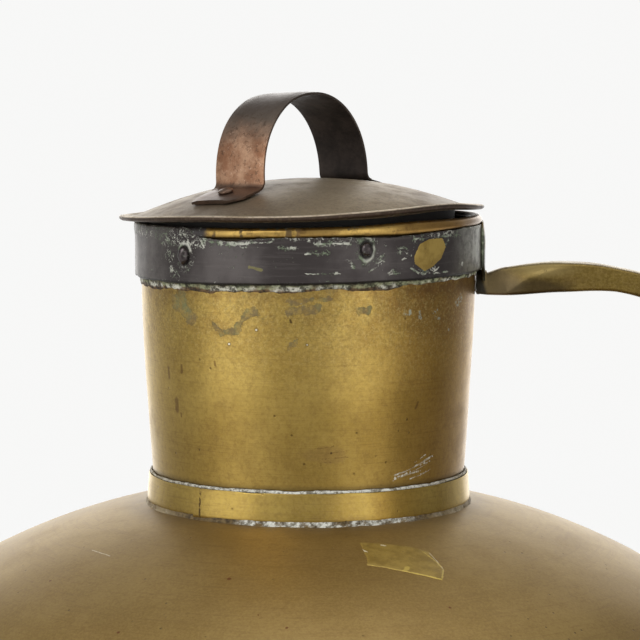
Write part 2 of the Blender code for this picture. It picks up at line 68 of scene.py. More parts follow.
HAUNCH_RADIUS = 86.1 * MM
SHOULDER_RADIUS = 227 * MM
HAUNCH_END = radians(61.86)
BOWL_DEPTH = 128 * MM
BASE_THICKNESS = 1.5 * MM
BASE_CLEAR = 0.4 * MM
NECK_FOOT_RADIUS = 57.6 * MM
NECK_TOP = 322.9 * MM
BAND_WALL = 1.4 * MM
BAND_BOTTOM = 307 * MM
BAND_TOP = 323.4 * MM
BEAD_RADIUS = 62 * MM
BEAD_HEIGHT = 325 * MM
BEAD_HALF_WIDTH = 1.9 * MM
BEAD_HALF_HEIGHT = 1.9 * MM
MOUTH_TILT = (tan(radians(1.1)), -tan(radians(0.5)))
LID_UNDERSIDE = 328.3 * MM
LID_SHEET = 1 * MM
HEM_WIDTH = 3.2 * MM
LID_TILT = (tan(radians(1.6)), -tan(radians(1.0)))
BRIM_START = 61.6 * MM
BRIM_BLEND = 2 * MM
DOME_RADIUS = 164 * MM
SKIRT_RADIUS = 56.3 * MM
SKIRT_DEPTH = 13.8 * MM
SKIRT_SHEET = 0.9 * MM
GAP = 0.3 * MM
STRAP_TURN = radians(53.0)
STRAP_WIDTH = 22 * MM
STRAP_THICKNESS = 1.5 * MM
STRAP_HALF_CHORD = 31.2 * MM
STRAP_RISE = 30.4 * MM
STRAP_PAD = 13.3 * MM
STRAP_BEND = 3 * MM
STRAP_LEAN = 0.045
STRAP_SHIFT = -3 * MM
HEEL_RADIUS = 62 * MM
HEEL_HEIGHT = 303.1 * MM
BAR_HEIGHT = 305 * MM
BAR_RISE = (66.3 * MM, 93.0 * MM)
BAR_BEND = 78 * MM
BAR_BEND_START = 101 * MM
BAR_HALF_WIDTH = 7 * MM
BAR_HALF_DEPTH = 4.35 * MM
KNUCKLE_LENGTH = 52 * MM
KNUCKLE_SWELL = 1.2 * MM
PALM_HALF_WIDTH = 11 * MM
BAND_FACE = BAND_RADIUS - 0.0001
PALM_THICKNESS = 1.2 * MM
PALM_TIP = 325.6 * MM
PALM_ROOT = 304 * MM
FOOT_THICKNESS = 1.8 * MM
PATCH_THICKNESS = 1.2 * MM
FOOT_TOP = radians(34.0)
FOOT_BOTTOM = radians(10.0)


# ---- mesh helpers -------------------------------------------------------------

def link_mesh(name, builder, material):
    """Turn a bmesh into an object of the scene."""
    mesh = bpy.data.meshes.new(name)
    builder.to_mesh(mesh)
    builder.free()
    mesh.materials.append(material)
    item = bpy.data.objects.new(name, mesh)
    bpy.context.collection.objects.link(item)
    return item


def add_object(name, builder, material, body, nodes=()):
    """Make an object from a bmesh, ride it on its body and hide the frame's parts it stands for."""
    bmesh.ops.recalc_face_normals(builder, faces=builder.faces)
    item = link_mesh(name, builder, material)
    item.data.shade_smooth()
    item.data.set_sharp_from_angle(angle=radians(50))
    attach(item, body)
    if nodes:
        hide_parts(*nodes)
    return item


def skin(builder, rings):
    """Faces between neighbouring rings of equally many points."""
    for low, high in rings:
        for step in range(len(low)):
            follow = (step + 1) % len(low)
            builder.faces.new((low[step], low[follow], high[follow], high[step]))


def arc(centre, radius, start, end, steps):
    """Points of an arc in a plane."""
    angles = [start + (end - start) * step / steps for step in range(steps + 1)]
    return [(centre[0] + radius * cos(a), centre[1] + radius * sin(a)) for a in angles]


def sheet_outline(line, thickness, tip=5):
    """Closed outline of a sheet: its outer line, moved inwards, with round edges."""
    points = np.array(line)
    run = np.gradient(points, axis=0)
    run /= np.linalg.norm(run, axis=1)[:, None]
    inward = np.stack([-run[:, 1], run[:, 0]], axis=1)
    middle = points + inward * (0.5 * thickness)
    far = points + inward * thickness
    closed = [tuple(point) for point in points[1:-1]]
    for end, way in ((-1, 1), (0, -1)):
        for step in range(tip + 1):
            angle = -0.5 * pi + pi * step / tip
            along = cos(angle) * way * run[end]
            across = sin(angle) * way * inward[end]
            closed.append(tuple(middle[end] + 0.5 * thickness * (along + across)))
        if end == -1:
            closed += [tuple(point) for point in far[-2:0:-1]]
    return closed


def turned(outline, segments, shape=None, closed=True):
    """Turn an outline of (radius, height) about Z; shape moves each point afterwards."""
    builder = bmesh.new()
    rings = []
    for radius, height in outline:
        count = segments if radius > 1e-07 else 1
        ring = []
        for step in range(count):
            angle = 2 * pi * step / segments
            point = Vector((radius * cos(angle), radius * sin(angle), height))
            ring.append(builder.verts.new(shape(point) if shape else point))
        rings.append(ring)
    pairs = list(zip(rings, rings[1:]))
    if closed:
        pairs.append((rings[-1], rings[0]))
    for low, high in pairs:
        for step in range(segments):
            follow = (step + 1) % segments
            if len(low) == 1:
                builder.faces.new((low[0], high[step], high[follow]))
            elif len(high) == 1:
                builder.faces.new((low[step], high[0], low[follow]))
            else:
                builder.faces.new((low[step], high[step], high[follow], low[follow]))
    return builder


def loft(rings):
    """Join rings of equally many points into one closed solid."""
    builder = bmesh.new()
    verts = [[builder.verts.new(point) for point in ring] for ring in rings]
    skin(builder, zip(verts, verts[1:]))
    for ring in (verts[0], verts[-1][::-1]):
        middle = builder.verts.new(sum((vert.co for vert in ring), Vector()) / len(ring))
        for step in range(len(ring)):
            builder.faces.new((ring[(step + 1) % len(ring)], ring[step], middle))
    return builder


def smooth_ring(corners, rounds=2, reach=1):
    """Round a polygon's corners by cutting them, by no more than a reach each time."""
    for _ in range(rounds):
        cut = []
        for here, there in zip(corners, corners[1:] + corners[:1]):
            length = hypot(there[0] - here[0], there[1] - here[1])
            share = min(0.25, reach / max(length, 1e-09))
            cut.append(tuple((a + share * (b - a) for a, b in zip(here, there))))
            cut.append(tuple((b + share * (a - b) for a, b in zip(here, there))))
        corners = cut
    return corners


def swept_ring(section, steps=360, shape=None):
    """Closed ring; section(angle) gives its (radius, height) corners at an angle in degrees."""
    builder = bmesh.new()
    rings = []
    for step in range(steps):
        angle = 360 * step / steps
        points = [around(angle, radius, height) for radius, height in section(angle)]
        rings.append([builder.verts.new(shape(point) if shape else point) for point in points])
    skin(builder, zip(rings, rings[1:] + rings[:1]))
    return builder


def clamp(share):
    return min(1, max(0, share))


def ease(share):
    """Smooth start and end of a share between 0 and 1."""
    share = clamp(share)
    return share * share * (3 - 2 * share)


def hill(angle, centre, width):
    """Soft bump round the can: 1 at an angle from the front, 0 far from it."""
    turn = (angle - centre + 180) % 360 - 180
    return exp(-(turn / width) ** 2)


def noise_at(point, scale, shift=0):
    """Smooth random value between -1 and 1."""
    return noise.noise(point * scale + Vector((shift, 0, 0)))


def ripple(point, size, depth, seed=0):
    """Smooth random value of about +-depth with features of about a size."""
    return depth * noise.noise(point / size + Vector((seed, 1.7 * seed, 0.3 * seed)))


def azimuth(point):
    """Angle from the front (-Y) towards +X, in degrees."""
    return degrees(atan2(point.x, -point.y))


def around(angle, radius, height):
    """Point at an angle in degrees from the front."""
    turn = radians(angle)
    return Vector((radius * sin(turn), -radius * cos(turn), height))


def push_out(point, amount):
    """Move a point away from the can's axis."""
    length = hypot(point.x, point.y)
    if length < 1e-06:
        return point
    return Vector((point.x * (1 + amount / length), point.y * (1 + amount / length), point.z))


def bump_at(point, angle, height, width, tall, depth):
    """A soft dent or bulge at an angle and height of an upright wall."""
    turn = (azimuth(point) - angle + 180) % 360 - 180
    across = radians(turn) * hypot(point.x, point.y)
    return depth * exp(-(across / width) ** 2 - ((point.z - height) / tall) ** 2)


# ---- materials ----------------------------------------------------------------

class Graph:
    """Short calls that add shader nodes to one node tree and link them up."""

    def __init__(self, tree):
        self.nodes = tree.nodes
        self.links = tree.links

    def put(self, socket, value):
        if isinstance(value, bpy.types.NodeSocket):
            self.links.new(value, socket)
        elif isinstance(value, tuple) and len(value) == 3 and socket.type == "RGBA":
            socket.default_value = (*value, 1)
        else:
            socket.default_value = value

    def make(self, kind, inputs, **settings):
        """A new node, with its inputs by name or number and its own settings."""
        node = self.nodes.new("ShaderNode" + kind)
        for key, value in settings.items():
            setattr(node, key, value)
        for key, value in inputs.items():
            self.put(node.inputs[key], value)
        return node

    def apart(self, vector):
        return self.make("SeparateXYZ", {0: vector}).outputs

    def sum(self, kind, first, second=0, third=0):
        return self.make("Math", {0: first, 1: second, 2: third}, operation=kind).outputs[0]

    def vector(self, kind, first, second=(0, 0, 0)):
        node = self.make("VectorMath", {0: first, 1: second}, operation=kind)
        return node.outputs["Value" if kind in ("LENGTH", "DOT_PRODUCT") else "Vector"]

    def step(self, value, low, high, to_low=0, to_high=1):
        """Smooth change of a value between two limits."""
        inputs = {"Value": value, "From Min": low, "From Max": high, "To Min": to_low,
                  "To Max": to_high}
        return self.make("MapRange", inputs, interpolation_type="SMOOTHSTEP").outputs["Result"]

    def times(self, product, *others):
        for other in others:
            product = self.sum("MULTIPLY", product, other)
        return product

    def line(self, value, slope, offset):
        return self.sum("MULTIPLY_ADD", value, slope, offset)


class Paint(Graph):
    """A procedural metal, built up in layers over the object's own coordinates."""

    def __init__(self, name):
        self.material = bpy.data.materials.new(name)
        self.material.use_nodes = True
        super().__init__(self.material.node_tree)
        self.shader = self.nodes["Principled BSDF"]
        places = self.make("TexCoord", {}).outputs
        self.place = places["Object"]
        self.x, self.y, self.z = self.apart(self.place)
        self.upright = self.apart(places["Normal"])[2]
        self.colour = self.normal = None

    def less(self, value, other):
        return self.sum("SUBTRACT", value, other)

    def size(self, value):
        return self.sum("ABSOLUTE", value)

    def noise(self, scale, detail, rough, stretch=(1, 1, 1), shift=0, twist=0):
        scaled = self.vector("MULTIPLY", self.place, stretch)
        moved = self.vector("ADD", scaled, (shift, shift * 0.7, shift * 1.3))
        inputs = {"Vector": moved, "Scale": scale, "Detail": detail, "Roughness": rough,
                  "Distortion": twist}
        return self.make("TexNoise", inputs).outputs["Fac"]

    def cloud(self, low, high, *noise, floor=0, top=1, **more):
        """Noise made into soft-edged patches: the step between two of its values."""
        return self.step(self.noise(*noise, **more), low, high, floor, top)

    def mix(self, share, first, second, kind="MIX"):
        inputs = {0: share, 6: first, 7: second}
        return self.make("Mix", inputs, data_type="RGBA", blend_type=kind).outputs[2]

    def lay(self, colour, *shares):
        """Cover the colour so far by the product of the shares."""
        self.colour = self.mix(self.times(*shares), self.colour, colour)

    def tinted(self, tint):
        return self.mix(1, self.colour, tint, "MULTIPLY")

    def shaken(self, scale, amount):
        """The object's coordinates moved about by noise, for ragged edges."""
        inputs = {"Vector": self.place, "Scale": scale, "Detail": 5, "Roughness": 0.65}
        shake = self.make("TexNoise", inputs).outputs["Color"]
        shake = self.vector("SUBTRACT", shake, (0.5, 0.5, 0.5))
        shake = self.vector("MULTIPLY", shake, (amount, amount, amount))
        return self.vector("ADD", self.place, shake)

    def from_axis(self, place):
        """Level distance of a place from the Z axis."""
        return self.vector("LENGTH", self.vector("MULTIPLY", place, (1, 1, 0)))

    def mouth_level(self):
        """Height above the tilted plane of the mouth."""
        level = self.less(self.z, self.times(self.x, MOUTH_TILT[0]))
        return self.less(level, self.times(self.y, MOUTH_TILT[1]))

    def stroke(self, start, end, width, where):
        """Distance to a line between two points, divided by a width."""
        line = end - start
        away = self.vector("SUBTRACT", where, tuple(start))
        if line.length > 1e-6:
            along = self.vector("DOT_PRODUCT", away, tuple(line / line.length_squared))
            along = self.sum("MINIMUM", self.sum("MAXIMUM", along, 0), 1)
            scaled = self.make("VectorMath", {0: line, "Scale": along}, operation="SCALE")
            away = self.vector("SUBTRACT", away, scaled.outputs["Vector"])
        return self.sum("DIVIDE", self.vector("LENGTH", away), width)

    def nearest(self, lines, where):
        """Distance to the nearest of many (start, end, width) lines."""
        distances = [self.stroke(start, end, width * MM, where) for start, end, width in lines]
        return self.merged("MINIMUM", distances)

    def strokes(self, lines, reach, where):
        """Distance to the nearest of many (angle, height, angle, height, width) lines, in mm.

        reach gives the radius at a height.
        """
        return self.nearest([(around(first, reach(low * MM), low * MM),
                              around(last, reach(high * MM), high * MM), width)
                             for first, low, last, high, width in lines], where)

    def near(self, centre, reach, wobble, size, soft=0.15):
        """Soft mask round a point: 1 inside an irregular blob, 0 outside it."""
        away = self.vector("SUBTRACT", self.place, tuple(centre))
        length = self.vector("LENGTH", self.vector("DIVIDE", away, reach))
        rough = self.noise(size, 5, 0.65, shift=centre[0] * 50 + 3)
        distance = self.line(rough, 2 * wobble, self.less(length, wobble))
        return self.step(distance, 0.9 + soft, 0.9 - soft)

    def merged(self, kind, values):
        total = values[0]
        for value in values[1:]:
            total = self.sum(kind, total, value)
        return total

    def union(self, masks):
        return self.merged("MAXIMUM", masks)

    def relief(self, height, distance, strength):
        """Add a bump to the relief so far."""
        inputs = {"Strength": strength, "Distance": distance, "Height": height}
        if self.normal:
            inputs["Normal"] = self.normal
        self.normal = self.make("Bump", inputs).outputs["Normal"]

    def finish(self, roughness, metallic):
        self.put(self.shader.inputs["Base Color"], self.colour)
        self.put(self.shader.inputs["Roughness"], roughness)
        self.put(self.shader.inputs["Metallic"], metallic)
        if self.normal:
            self.put(self.shader.inputs["Normal"], self.normal)
        return self.material


BRIGHT = (0.56, 0.415, 0.13)
OCHRE = (0.43, 0.305, 0.082)
BROWN = (0.235, 0.14, 0.05)
ORANGE = (0.31, 0.165, 0.042)
PIT = (0.05, 0.026, 0.014)


class Brass(Paint):
    """Mottled brass: clean and dull areas, brown bloom, hairlines and specks."""

    def __init__(self, name, clean=BRIGHT, dull=OCHRE, stain=BROWN, wear=0.5):
        super().__init__(name)
        self.colour = self.mix(self.cloud(0.36, 0.64, 24, 5, 0.6), dull, clean)
        self.bloom = self.times(self.cloud(0.46, 0.8, 60, 8, 0.72, shift=2, twist=0.3), wear)
        self.lay(stain, self.bloom)
        self.grain = self.noise(1100, 3, 0.7)
        self.lay((0.7, 0.52, 0.2), self.step(self.grain, 0.3, 0.7, 0, 0.16))
        self.hairs = self.noise(1, 4, 0.75, stretch=(35, 35, 1900))
        self.lay(stain, self.step(self.hairs, 0.5, 0.68, 0, 0.32))
        dots = self.make("TexVoronoi", {"Vector": self.vector("ADD", self.place), "Scale": 210})
        dots = self.step(dots.outputs["Distance"], 0.11, 0.06)
        self.specks = self.times(dots, self.cloud(0.46, 0.6, 46, 3, 0.5, shift=5))
        self.lay(PIT, self.specks, 0.6)
        self.lay(stain, self.cloud(0.44, 0.66, 560, 6, 0.78, shift=7, top=0.34))

    def finish_brass(self, crust=None, rough=0.33, metal=0.96, haze=0.06):
        """Roughness, relief and a thin clear haze; crust says where the metal is corroded."""
        self.shader.inputs["Coat Weight"].default_value = haze
        self.shader.inputs["Coat Roughness"].default_value = 0.35
        roughness = self.line(self.grain, 0.1, self.line(self.bloom, 0.25, rough))
        metallic = self.step(self.bloom, 0, 1, metal, metal - 0.16)
        self.relief(self.noise(210, 4, 0.6, shift=8), 0.00012, 0.55)
        self.relief(self.hairs, 0.00003, 0.5)
        self.relief(self.noise(1500, 3, 0.7, shift=5), 0.00003, 0.5)
        self.relief(self.times(self.specks, -1), 0.0002, 0.7)
        if crust is not None:
            roughness = self.line(crust, 0.3, roughness)
            metallic = self.line(crust, -0.72, metallic)
            self.relief(self.times(self.noise(900, 4, 0.7), crust), 0.0003, 0.8)
        return self.finish(roughness, metallic)


# small pits and pale scratches on the shoulder, as X and Y in mm
SHOULDER_PITS = ((-63.4, -114.9, 0.7), (-26.7, -97.1, 0.8), (-6.7, -124.8, 0.6),
                 (-16.4, -118.1, 0.4), (48, -108, 0.5), (-90, -70, 0.5), (20, 118, 0.7),
                 (-70, 92, 0.6))


def body_brass(name):
    """Brass of the body, dull near the collar, with pits and a scratch on the shoulder."""
    paint = Brass(name, clean=(0.35, 0.236, 0.078), dull=(0.285, 0.184, 0.054), wear=0.35)
    foot = paint.step(paint.from_axis(paint.place), 0.073, 0.06)
    above = paint.step(paint.z, 0.215, 0.219)
    grime = paint.times(foot, above, paint.cloud(0.3, 0.6, 160, 6, 0.7, shift=4, floor=0.35))
    paint.lay((0.19, 0.142, 0.088), grime, 0.5)
    fine = paint.shaken(500, 0.0008)
    spots = [(on_shoulder(x, y), on_shoulder(x, y), reach) for x, y, reach in SHOULDER_PITS]
    nearest = paint.nearest(spots, fine)
    paint.lay((0.16, 0.045, 0.02), paint.step(nearest, 1.2, 0.6, 0, 0.85))
    scratch = paint.stroke(Vector((-0.0765, -0.0551, 0.2126)), Vector((-0.0694, -0.0651, 0.2122)),
                           0.00025, fine)
    paint.lay((0.7, 0.62, 0.45), paint.step(scratch, 1.2, 0.5, 0, 0.7))
    return paint.finish_brass(rough=0.47, metal=0.86, haze=0.1)


# marks on the neck, as (angle, height, angle, height, reach in mm)
NECK_FILMS = ((-50, 299.3, -42.5, 294.3, 2.9), (-47, 302, -46, 298, 2.6),
              (-33.2, 291.9, -29.7, 289.4, 1), (-29.7, 289.4, -24.8, 290.5, 1.4),
              (-24.8, 290.5, -20, 296, 1.2), (-21, 296, -17.6, 297.6, 1.7),
              (-6.1, 301, 7.2, 302.6, 1.1), (-5.8, 297.8, 3.3, 299.2, 1.6),
              (-6.2, 285.1, -3.9, 287.9, 0.8), (17.5, 297.9, 20.5, 297.9, 1.7),
              (130, 296, 138, 299, 2.4), (205, 300, 214, 297, 2), (262, 292, 266, 298, 2.6))
NECK_CRUMBS = ((34.4, 296.2, 36, 296.6, 1.1), (40.3, 296.4, 40.4, 294.3, 0.8),
               (60.6, 298, 63.6, 299.6, 1.5), (47, 295.8, 48.2, 296.3, 0.9),
               (47.5, 294.1, 49.9, 293.2, 0.7), (55.8, 289, 56.5, 289.4, 0.6),
               (-2, 300.4, -1.8, 300.5, 0.4), (-40, 288.6, -39.8, 288.7, 0.35))
NECK_DROPS = ((-17.3, 291.2, -17.2, 291.2, 0.75), (-27.2, 285.8, -27.1, 285.8, 0.75),
              (-0.3, 286.2, -0.2, 286.2, 0.60))
NECK_PITS = ((20.3, 290.6, 20.4, 290.6, 0.32), (24.7, 288.2, 24.8, 288.2, 0.32),
             (16.5, 290.6, 16.6, 290.6, 0.28), (21.5, 280.4, 22.7, 282.5, 0.3),
             (18.3, 276.3, 19, 277.4, 0.28), (-5.8, 294.9, -5.5, 294.2, 0.5),
             (8, 247.5, 8.2, 247.6, 0.45), (-20.5, 257.5, -20.4, 257.3, 0.35))
NECK_STAINS = ((-56.1, 275, -55.9, 271.5, 0.75), (-48.3, 276.6, -48.2, 274.2, 0.7),
               (-52.2, 263.6, -52.1, 260.2, 1.2), (-50, 259, -50, 258, 0.5),
               (-33, 279, -32.9, 277.8, 0.5), (5, 245.5, 14, 246, 0.16), (2, 249, 9, 250, 0.14),
               (6, 247.2, 15, 248.6, 0.12), (3, 243.9, 8, 244.4, 0.12), (40, 262, 41, 264, 0.5))
NECK_SCRAPES = ((39.8, 240.5, 49.9, 243.6, 0.34), (32.2, 238.5, 45.9, 241.7, 0.3),
                (35.4, 239.1, 48.6, 241.9, 0.24), (31.2, 236.7, 38.7, 239.1, 0.42),
                (32.2, 237.6, 43.6, 238.9, 0.34), (38.9, 236.4, 48.9, 238.9, 0.22),
                (41, 242.4, 46, 244.6, 0.2))


def neck_brass(name):
    """Brass of the neck: rust and green films near the hoop, specks, scratches at its foot."""
    paint = Brass(name, wear=0.4)
    # painted shade: the neck's colour darkens towards its foot
    painted_shade_low = paint.step(paint.z, 0.242, 0.294)
    shade = paint.mix(painted_shade_low, (0.72, 0.66, 0.52), (1, 0.95, 0.8))
    paint.colour = paint.tinted(shade)
    # painted shade: the colour is darkened on the right side; the same mask also gives that side
    # more rust
    right = paint.step(paint.x, 0.01, 0.05)
    paint.lay(paint.tinted((0.84, 0.72, 0.58)), right)
    top = paint.step(paint.z, 0.27, 0.302)
    rust = paint.cloud(0.44, 0.62, 70, 7, 0.7, shift=11)
    share = paint.times(top, rust, paint.line(right, 0.6, 0.3))
    paint.lay(ORANGE, share)
    smear = paint.near(around(6, 58.5 * MM, 0.247), (0.0085, 0.0085, 0.0035), 0.6, 150)
    paint.lay(BROWN, smear, 0.35)
    dirty = paint.step(paint.z, 0.286, 0.303)
    smudge = paint.cloud(0.46, 0.62, 150, 7, 0.75, shift=14, twist=0.5)
    paint.lay((0.135, 0.105, 0.045), dirty, smudge, 0.34)
    tarnish = paint.cloud(0.56, 0.66, 210, 7, 0.75, shift=17, twist=0.8)
    paint.lay((0.185, 0.205, 0.125), dirty, tarnish, 0.45)
    stained = paint.near(around(52, 60 * MM, 0.2985), (0.03, 0.03, 0.0125), 0.7, 110, 0.4)
    paint.lay((0.26, 0.135, 0.04), stained, 0.42)
    sand = paint.cloud(0.46, 0.58, 820, 5, 0.85, shift=21)
    sand = paint.times(sand, paint.step(paint.z, 0.262, 0.298, 0.12, 0.42))
    paint.lay((0.165, 0.112, 0.034), sand)
    glitter = paint.cloud(0.5, 0.62, 900, 5, 0.85, shift=33)
    glitter = paint.times(glitter, paint.step(paint.z, 0.262, 0.298, 0.06, 0.5))
    paint.lay((0.64, 0.48, 0.18), glitter)
    film = paint.strokes(NECK_FILMS, neck_radius, paint.shaken(230, 0.0055))
    frayed = paint.line(paint.noise(600, 5, 0.7, shift=3), 0.9, film)
    inside = paint.step(frayed, 1.55, 1.2)
    edge = paint.times(inside, paint.step(frayed, 1.1, 1.42))
    cloudy = paint.cloud(0.36, 0.62, 300, 6, 0.72, shift=2, floor=0.2, top=0.78)
    green = paint.times(inside, cloudy)
    greyer = paint.cloud(0.44, 0.56, 95, 5, 0.6, shift=5)
    paint.lay(paint.mix(greyer, (0.172, 0.13, 0.066), (0.155, 0.185, 0.092)), green)
    paint.lay((0.085, 0.07, 0.034), edge, 0.5)
    fine = paint.shaken(900, 0.0007)
    crumbs = paint.step(paint.strokes(NECK_CRUMBS, neck_radius, paint.shaken(600, 0.0022)), 1.2,
                        0.6)
    crumbs = paint.times(crumbs, paint.cloud(0.46, 0.56, 700, 5, 0.75, shift=6))
    paint.lay((0.5, 0.53, 0.42), crumbs, 0.85)
    drops = paint.strokes(NECK_DROPS, neck_radius, fine)
    paint.lay((0.13, 0.09, 0.035), paint.step(drops, 1.15, 0.85, 0, 0.55))
    paint.lay((0.75, 0.72, 0.6), paint.step(drops, 0.55, 0.35, 0, 0.9))
    pits = paint.step(paint.strokes(NECK_PITS, neck_radius, fine), 1.1, 0.6)
    paint.lay(PIT, pits, 0.8)
    stains = paint.step(paint.strokes(NECK_STAINS, neck_radius, paint.shaken(500, 0.0016)), 1.3,
                        0.5)
    paint.lay((0.13, 0.062, 0.022), stains, 0.6)
    level = paint.line(paint.x, -MOUTH_TILT[0], paint.z)
    rusty = paint.cloud(0.42, 0.58, 160, 7, 0.75, shift=8)
    under = paint.times(paint.step(level, 0.299, 0.3045), rusty)
    paint.lay((0.18, 0.09, 0.03), under, paint.line(right, 0.4, 0.35))
    # painted shade: near black at the top of the neck, inside the mouth under the lid
    paint.lay((0.03, 0.022, 0.014), paint.step(level, 0.3195, 0.3205))
    scrapes = paint.step(paint.strokes(NECK_SCRAPES, neck_radius, fine), 1.2, 0.6)
    broken = paint.cloud(0.45, 0.53, 620, 4, 0.7, shift=12)
    paint.lay((0.8, 0.78, 0.68), scrapes, broken)
    # painted shadow: a dark line on the neck just above the collar's solder
    seam = paint.step(paint.z, 0.2365, 0.2335)
    paint.lay((0.075, 0.05, 0.024), seam, 0.65)
    return paint.finish_brass(crust=paint.times(green, 0.6))


def collar_brass(name):
    """Brass strip with a dotted seam where its ends meet and a short crack."""
    paint = Brass(name, clean=(0.5, 0.35, 0.085), dull=(0.36, 0.24, 0.052), wear=0.35)
    right = paint.times(paint.step(paint.x, 0.018, 0.028), paint.step(paint.x, 0.046, 0.034))
    paint.lay(paint.tinted((0.84, 0.76, 0.62)), right)
    across = tuple(around(COLLAR_SEAM + 90, 1, 0))
    side = paint.size(paint.vector("DOT_PRODUCT", paint.place, across))
    front = paint.step(paint.y, 0, -0.01)
    beads = paint.cloud(0.44, 0.54, 900, 3, 0.6, shift=6)
    seam = paint.times(paint.step(side, 0.00055, 0.00025), paint.times(beads, front))
    crack = paint.strokes(((8, 229.8, 9.8, 228.2, 0.2),), lambda height: COLLAR_RADIUS,
                          paint.shaken(700, 0.001))
    marks = paint.union((seam, paint.step(crack, 1.2, 0.6)))
    paint.lay(PIT, marks, 0.85)
    return paint.finish_brass(rough=0.28)


# dark gaps in the rolled rim, in the same form
BEAD_GAPS = ((-21.6, 323, -21.4, 328, 0.7), (-6.2, 323, -6, 328, 1.4), (-3.2, 323, -3, 328, 0.9),
             (13, 326.6, 14.2, 327.8, 0.5), (-31.5, 323.5, -31, 325, 0.8))


def bead_brass(name):
    """Rolled rim: brass at the front, dark crust where the hoop's metal covers it."""
    paint = Brass(name, clean=(0.6, 0.4, 0.11), dull=(0.46, 0.285, 0.072), wear=0.6)
    fine = paint.shaken(500, 0.002)
    gaps = paint.step(paint.strokes(BEAD_GAPS, lambda height: 63.4 * MM, fine), 1.1, 0.6)
    paint.lay((0.06, 0.035, 0.018), gaps, 0.8)
    middle = paint.near(around(3.5, 63.4 * MM, 0.3255), (0.0085, 0.0085, 0.004), 0.4, 200)
    paint.lay((0.27, 0.155, 0.05), middle, 0.55)
    breaks = paint.cloud(0.5, 0.64, 220, 6, 0.72, shift=3)
    paint.lay((0.135, 0.075, 0.03), breaks, 0.62)
    brown = paint.step(paint.x, 0.014, 0.05, 0, 0.75)
    paint.lay((0.3, 0.155, 0.045), brown)
    right = paint.step(paint.x, 0.051, 0.062)
    paint.lay((0.2, 0.15, 0.11), right, 0.8)
    side = paint.vector("DOT_PRODUCT", paint.place, tuple(around(57, 1, 0)))
    rough_side = paint.line(paint.noise(90, 4, 0.6), 0.008, side)
    covered = paint.step(rough_side, 0.0033, 0.0008)
    paint.lay((0.052, 0.045, 0.045), covered)
    crumbs = paint.cloud(0.54, 0.61, 420, 6, 0.75)
    top = paint.step(paint.upright, 0.55, 0.85)
    crumbs = paint.times(crumbs, paint.union((covered, paint.times(top, 0.9))))
    paint.lay((0.33, 0.37, 0.31), crumbs)
    away = paint.from_axis(paint.place)
    # painted shade: the rim's inner half, under the lid, is near black
    inner = paint.step(away, BEAD_RADIUS - 0.1 * MM, BEAD_RADIUS - 1 * MM)
    paint.lay((0.02, 0.015, 0.011), inner, 0.88)
    rough_part = paint.union((paint.times(covered, 0.8), paint.times(gaps, 0.6)))
    return paint.finish_brass(crust=rough_part, rough=0.26)


# where pale corrosion gathers on the hoop, as (angle, height, angle, height, reach in mm)
BAND_SORES = ((-51, 316.4, -50, 315.8, 2.2), (-48.5, 310.4, -47, 309.4, 2),
              (-55, 321.5, -36, 321.5, 1.9), (-34, 321.6, -20, 321.2, 1),
              (-8.8, 320.4, -4, 320.3, 1), (0, 318.4, 6.5, 318.8, 0.9),
              (2.5, 321.8, 13, 322.1, 0.9), (26.5, 310.8, 28.2, 311, 1.2),
              (-20, 322.6, 4, 322.4, 0.7), (14, 322.6, 22, 322.8, 0.8), (30, 318.9, 32, 319.3, 1.2),
              (39, 311, 44, 311.8, 1.4), (36, 323.2, 58, 323.6, 1.5), (12, 316, 14.5, 313.5, 0.8),
              (22, 314.5, 24.5, 316.5, 1.3), (58, 313, 60, 312, 0.9), (95, 320, 120, 321, 2.2),
              (190, 311, 215, 310, 2))
BAND_DASHES = ((-35, 322.3, -30, 321.6, 0.34), (-30, 321.6, -23.5, 321, 0.42),
               (-23.5, 321, -17.5, 321.9, 0.3), (-17.5, 321.9, -10, 322.4, 0.24),
               (-1.1, 311.3, 10.2, 311.5, 0.22), (7.6, 311.2, 9.3, 311.6, 0.5),
               (-4.6, 315.3, -4, 315.4, 0.3), (2.5, 315.9, 5, 316.1, 0.18),
               (-21, 317.5, -20.6, 318.2, 0.25), (-62, 309.6, -61.6, 309.9, 0.35),
               (-8.8, 320.3, -4.9, 320.2, 0.45), (-0.8, 318.3, 6.7, 318.6, 0.3),
               (2, 321.7, 13, 321.9, 0.42), (-29, 321.9, -19, 321.5, 0.4),
               (36, 322.6, 53, 322.9, 0.4), (26.1, 310.6, 30.5, 310.9, 0.32),
               (44, 310, 52, 310.2, 0.38), (-12.5, 322.5, -11, 322.6, 0.35),
               (30.6, 315.4, 33.4, 316.5, 0.42), (33, 317.6, 34.6, 316.9, 0.38),
               (34.6, 312.4, 37.6, 310.6, 0.46), (44.4, 310.9, 46.6, 312, 0.42),
               (50, 320, 51.4, 321.4, 0.55), (26.6, 311.4, 29, 313, 0.36),
               (19.6, 311.8, 22, 313.4, 0.34), (22.4, 316.8, 24.6, 317.6, 0.42))


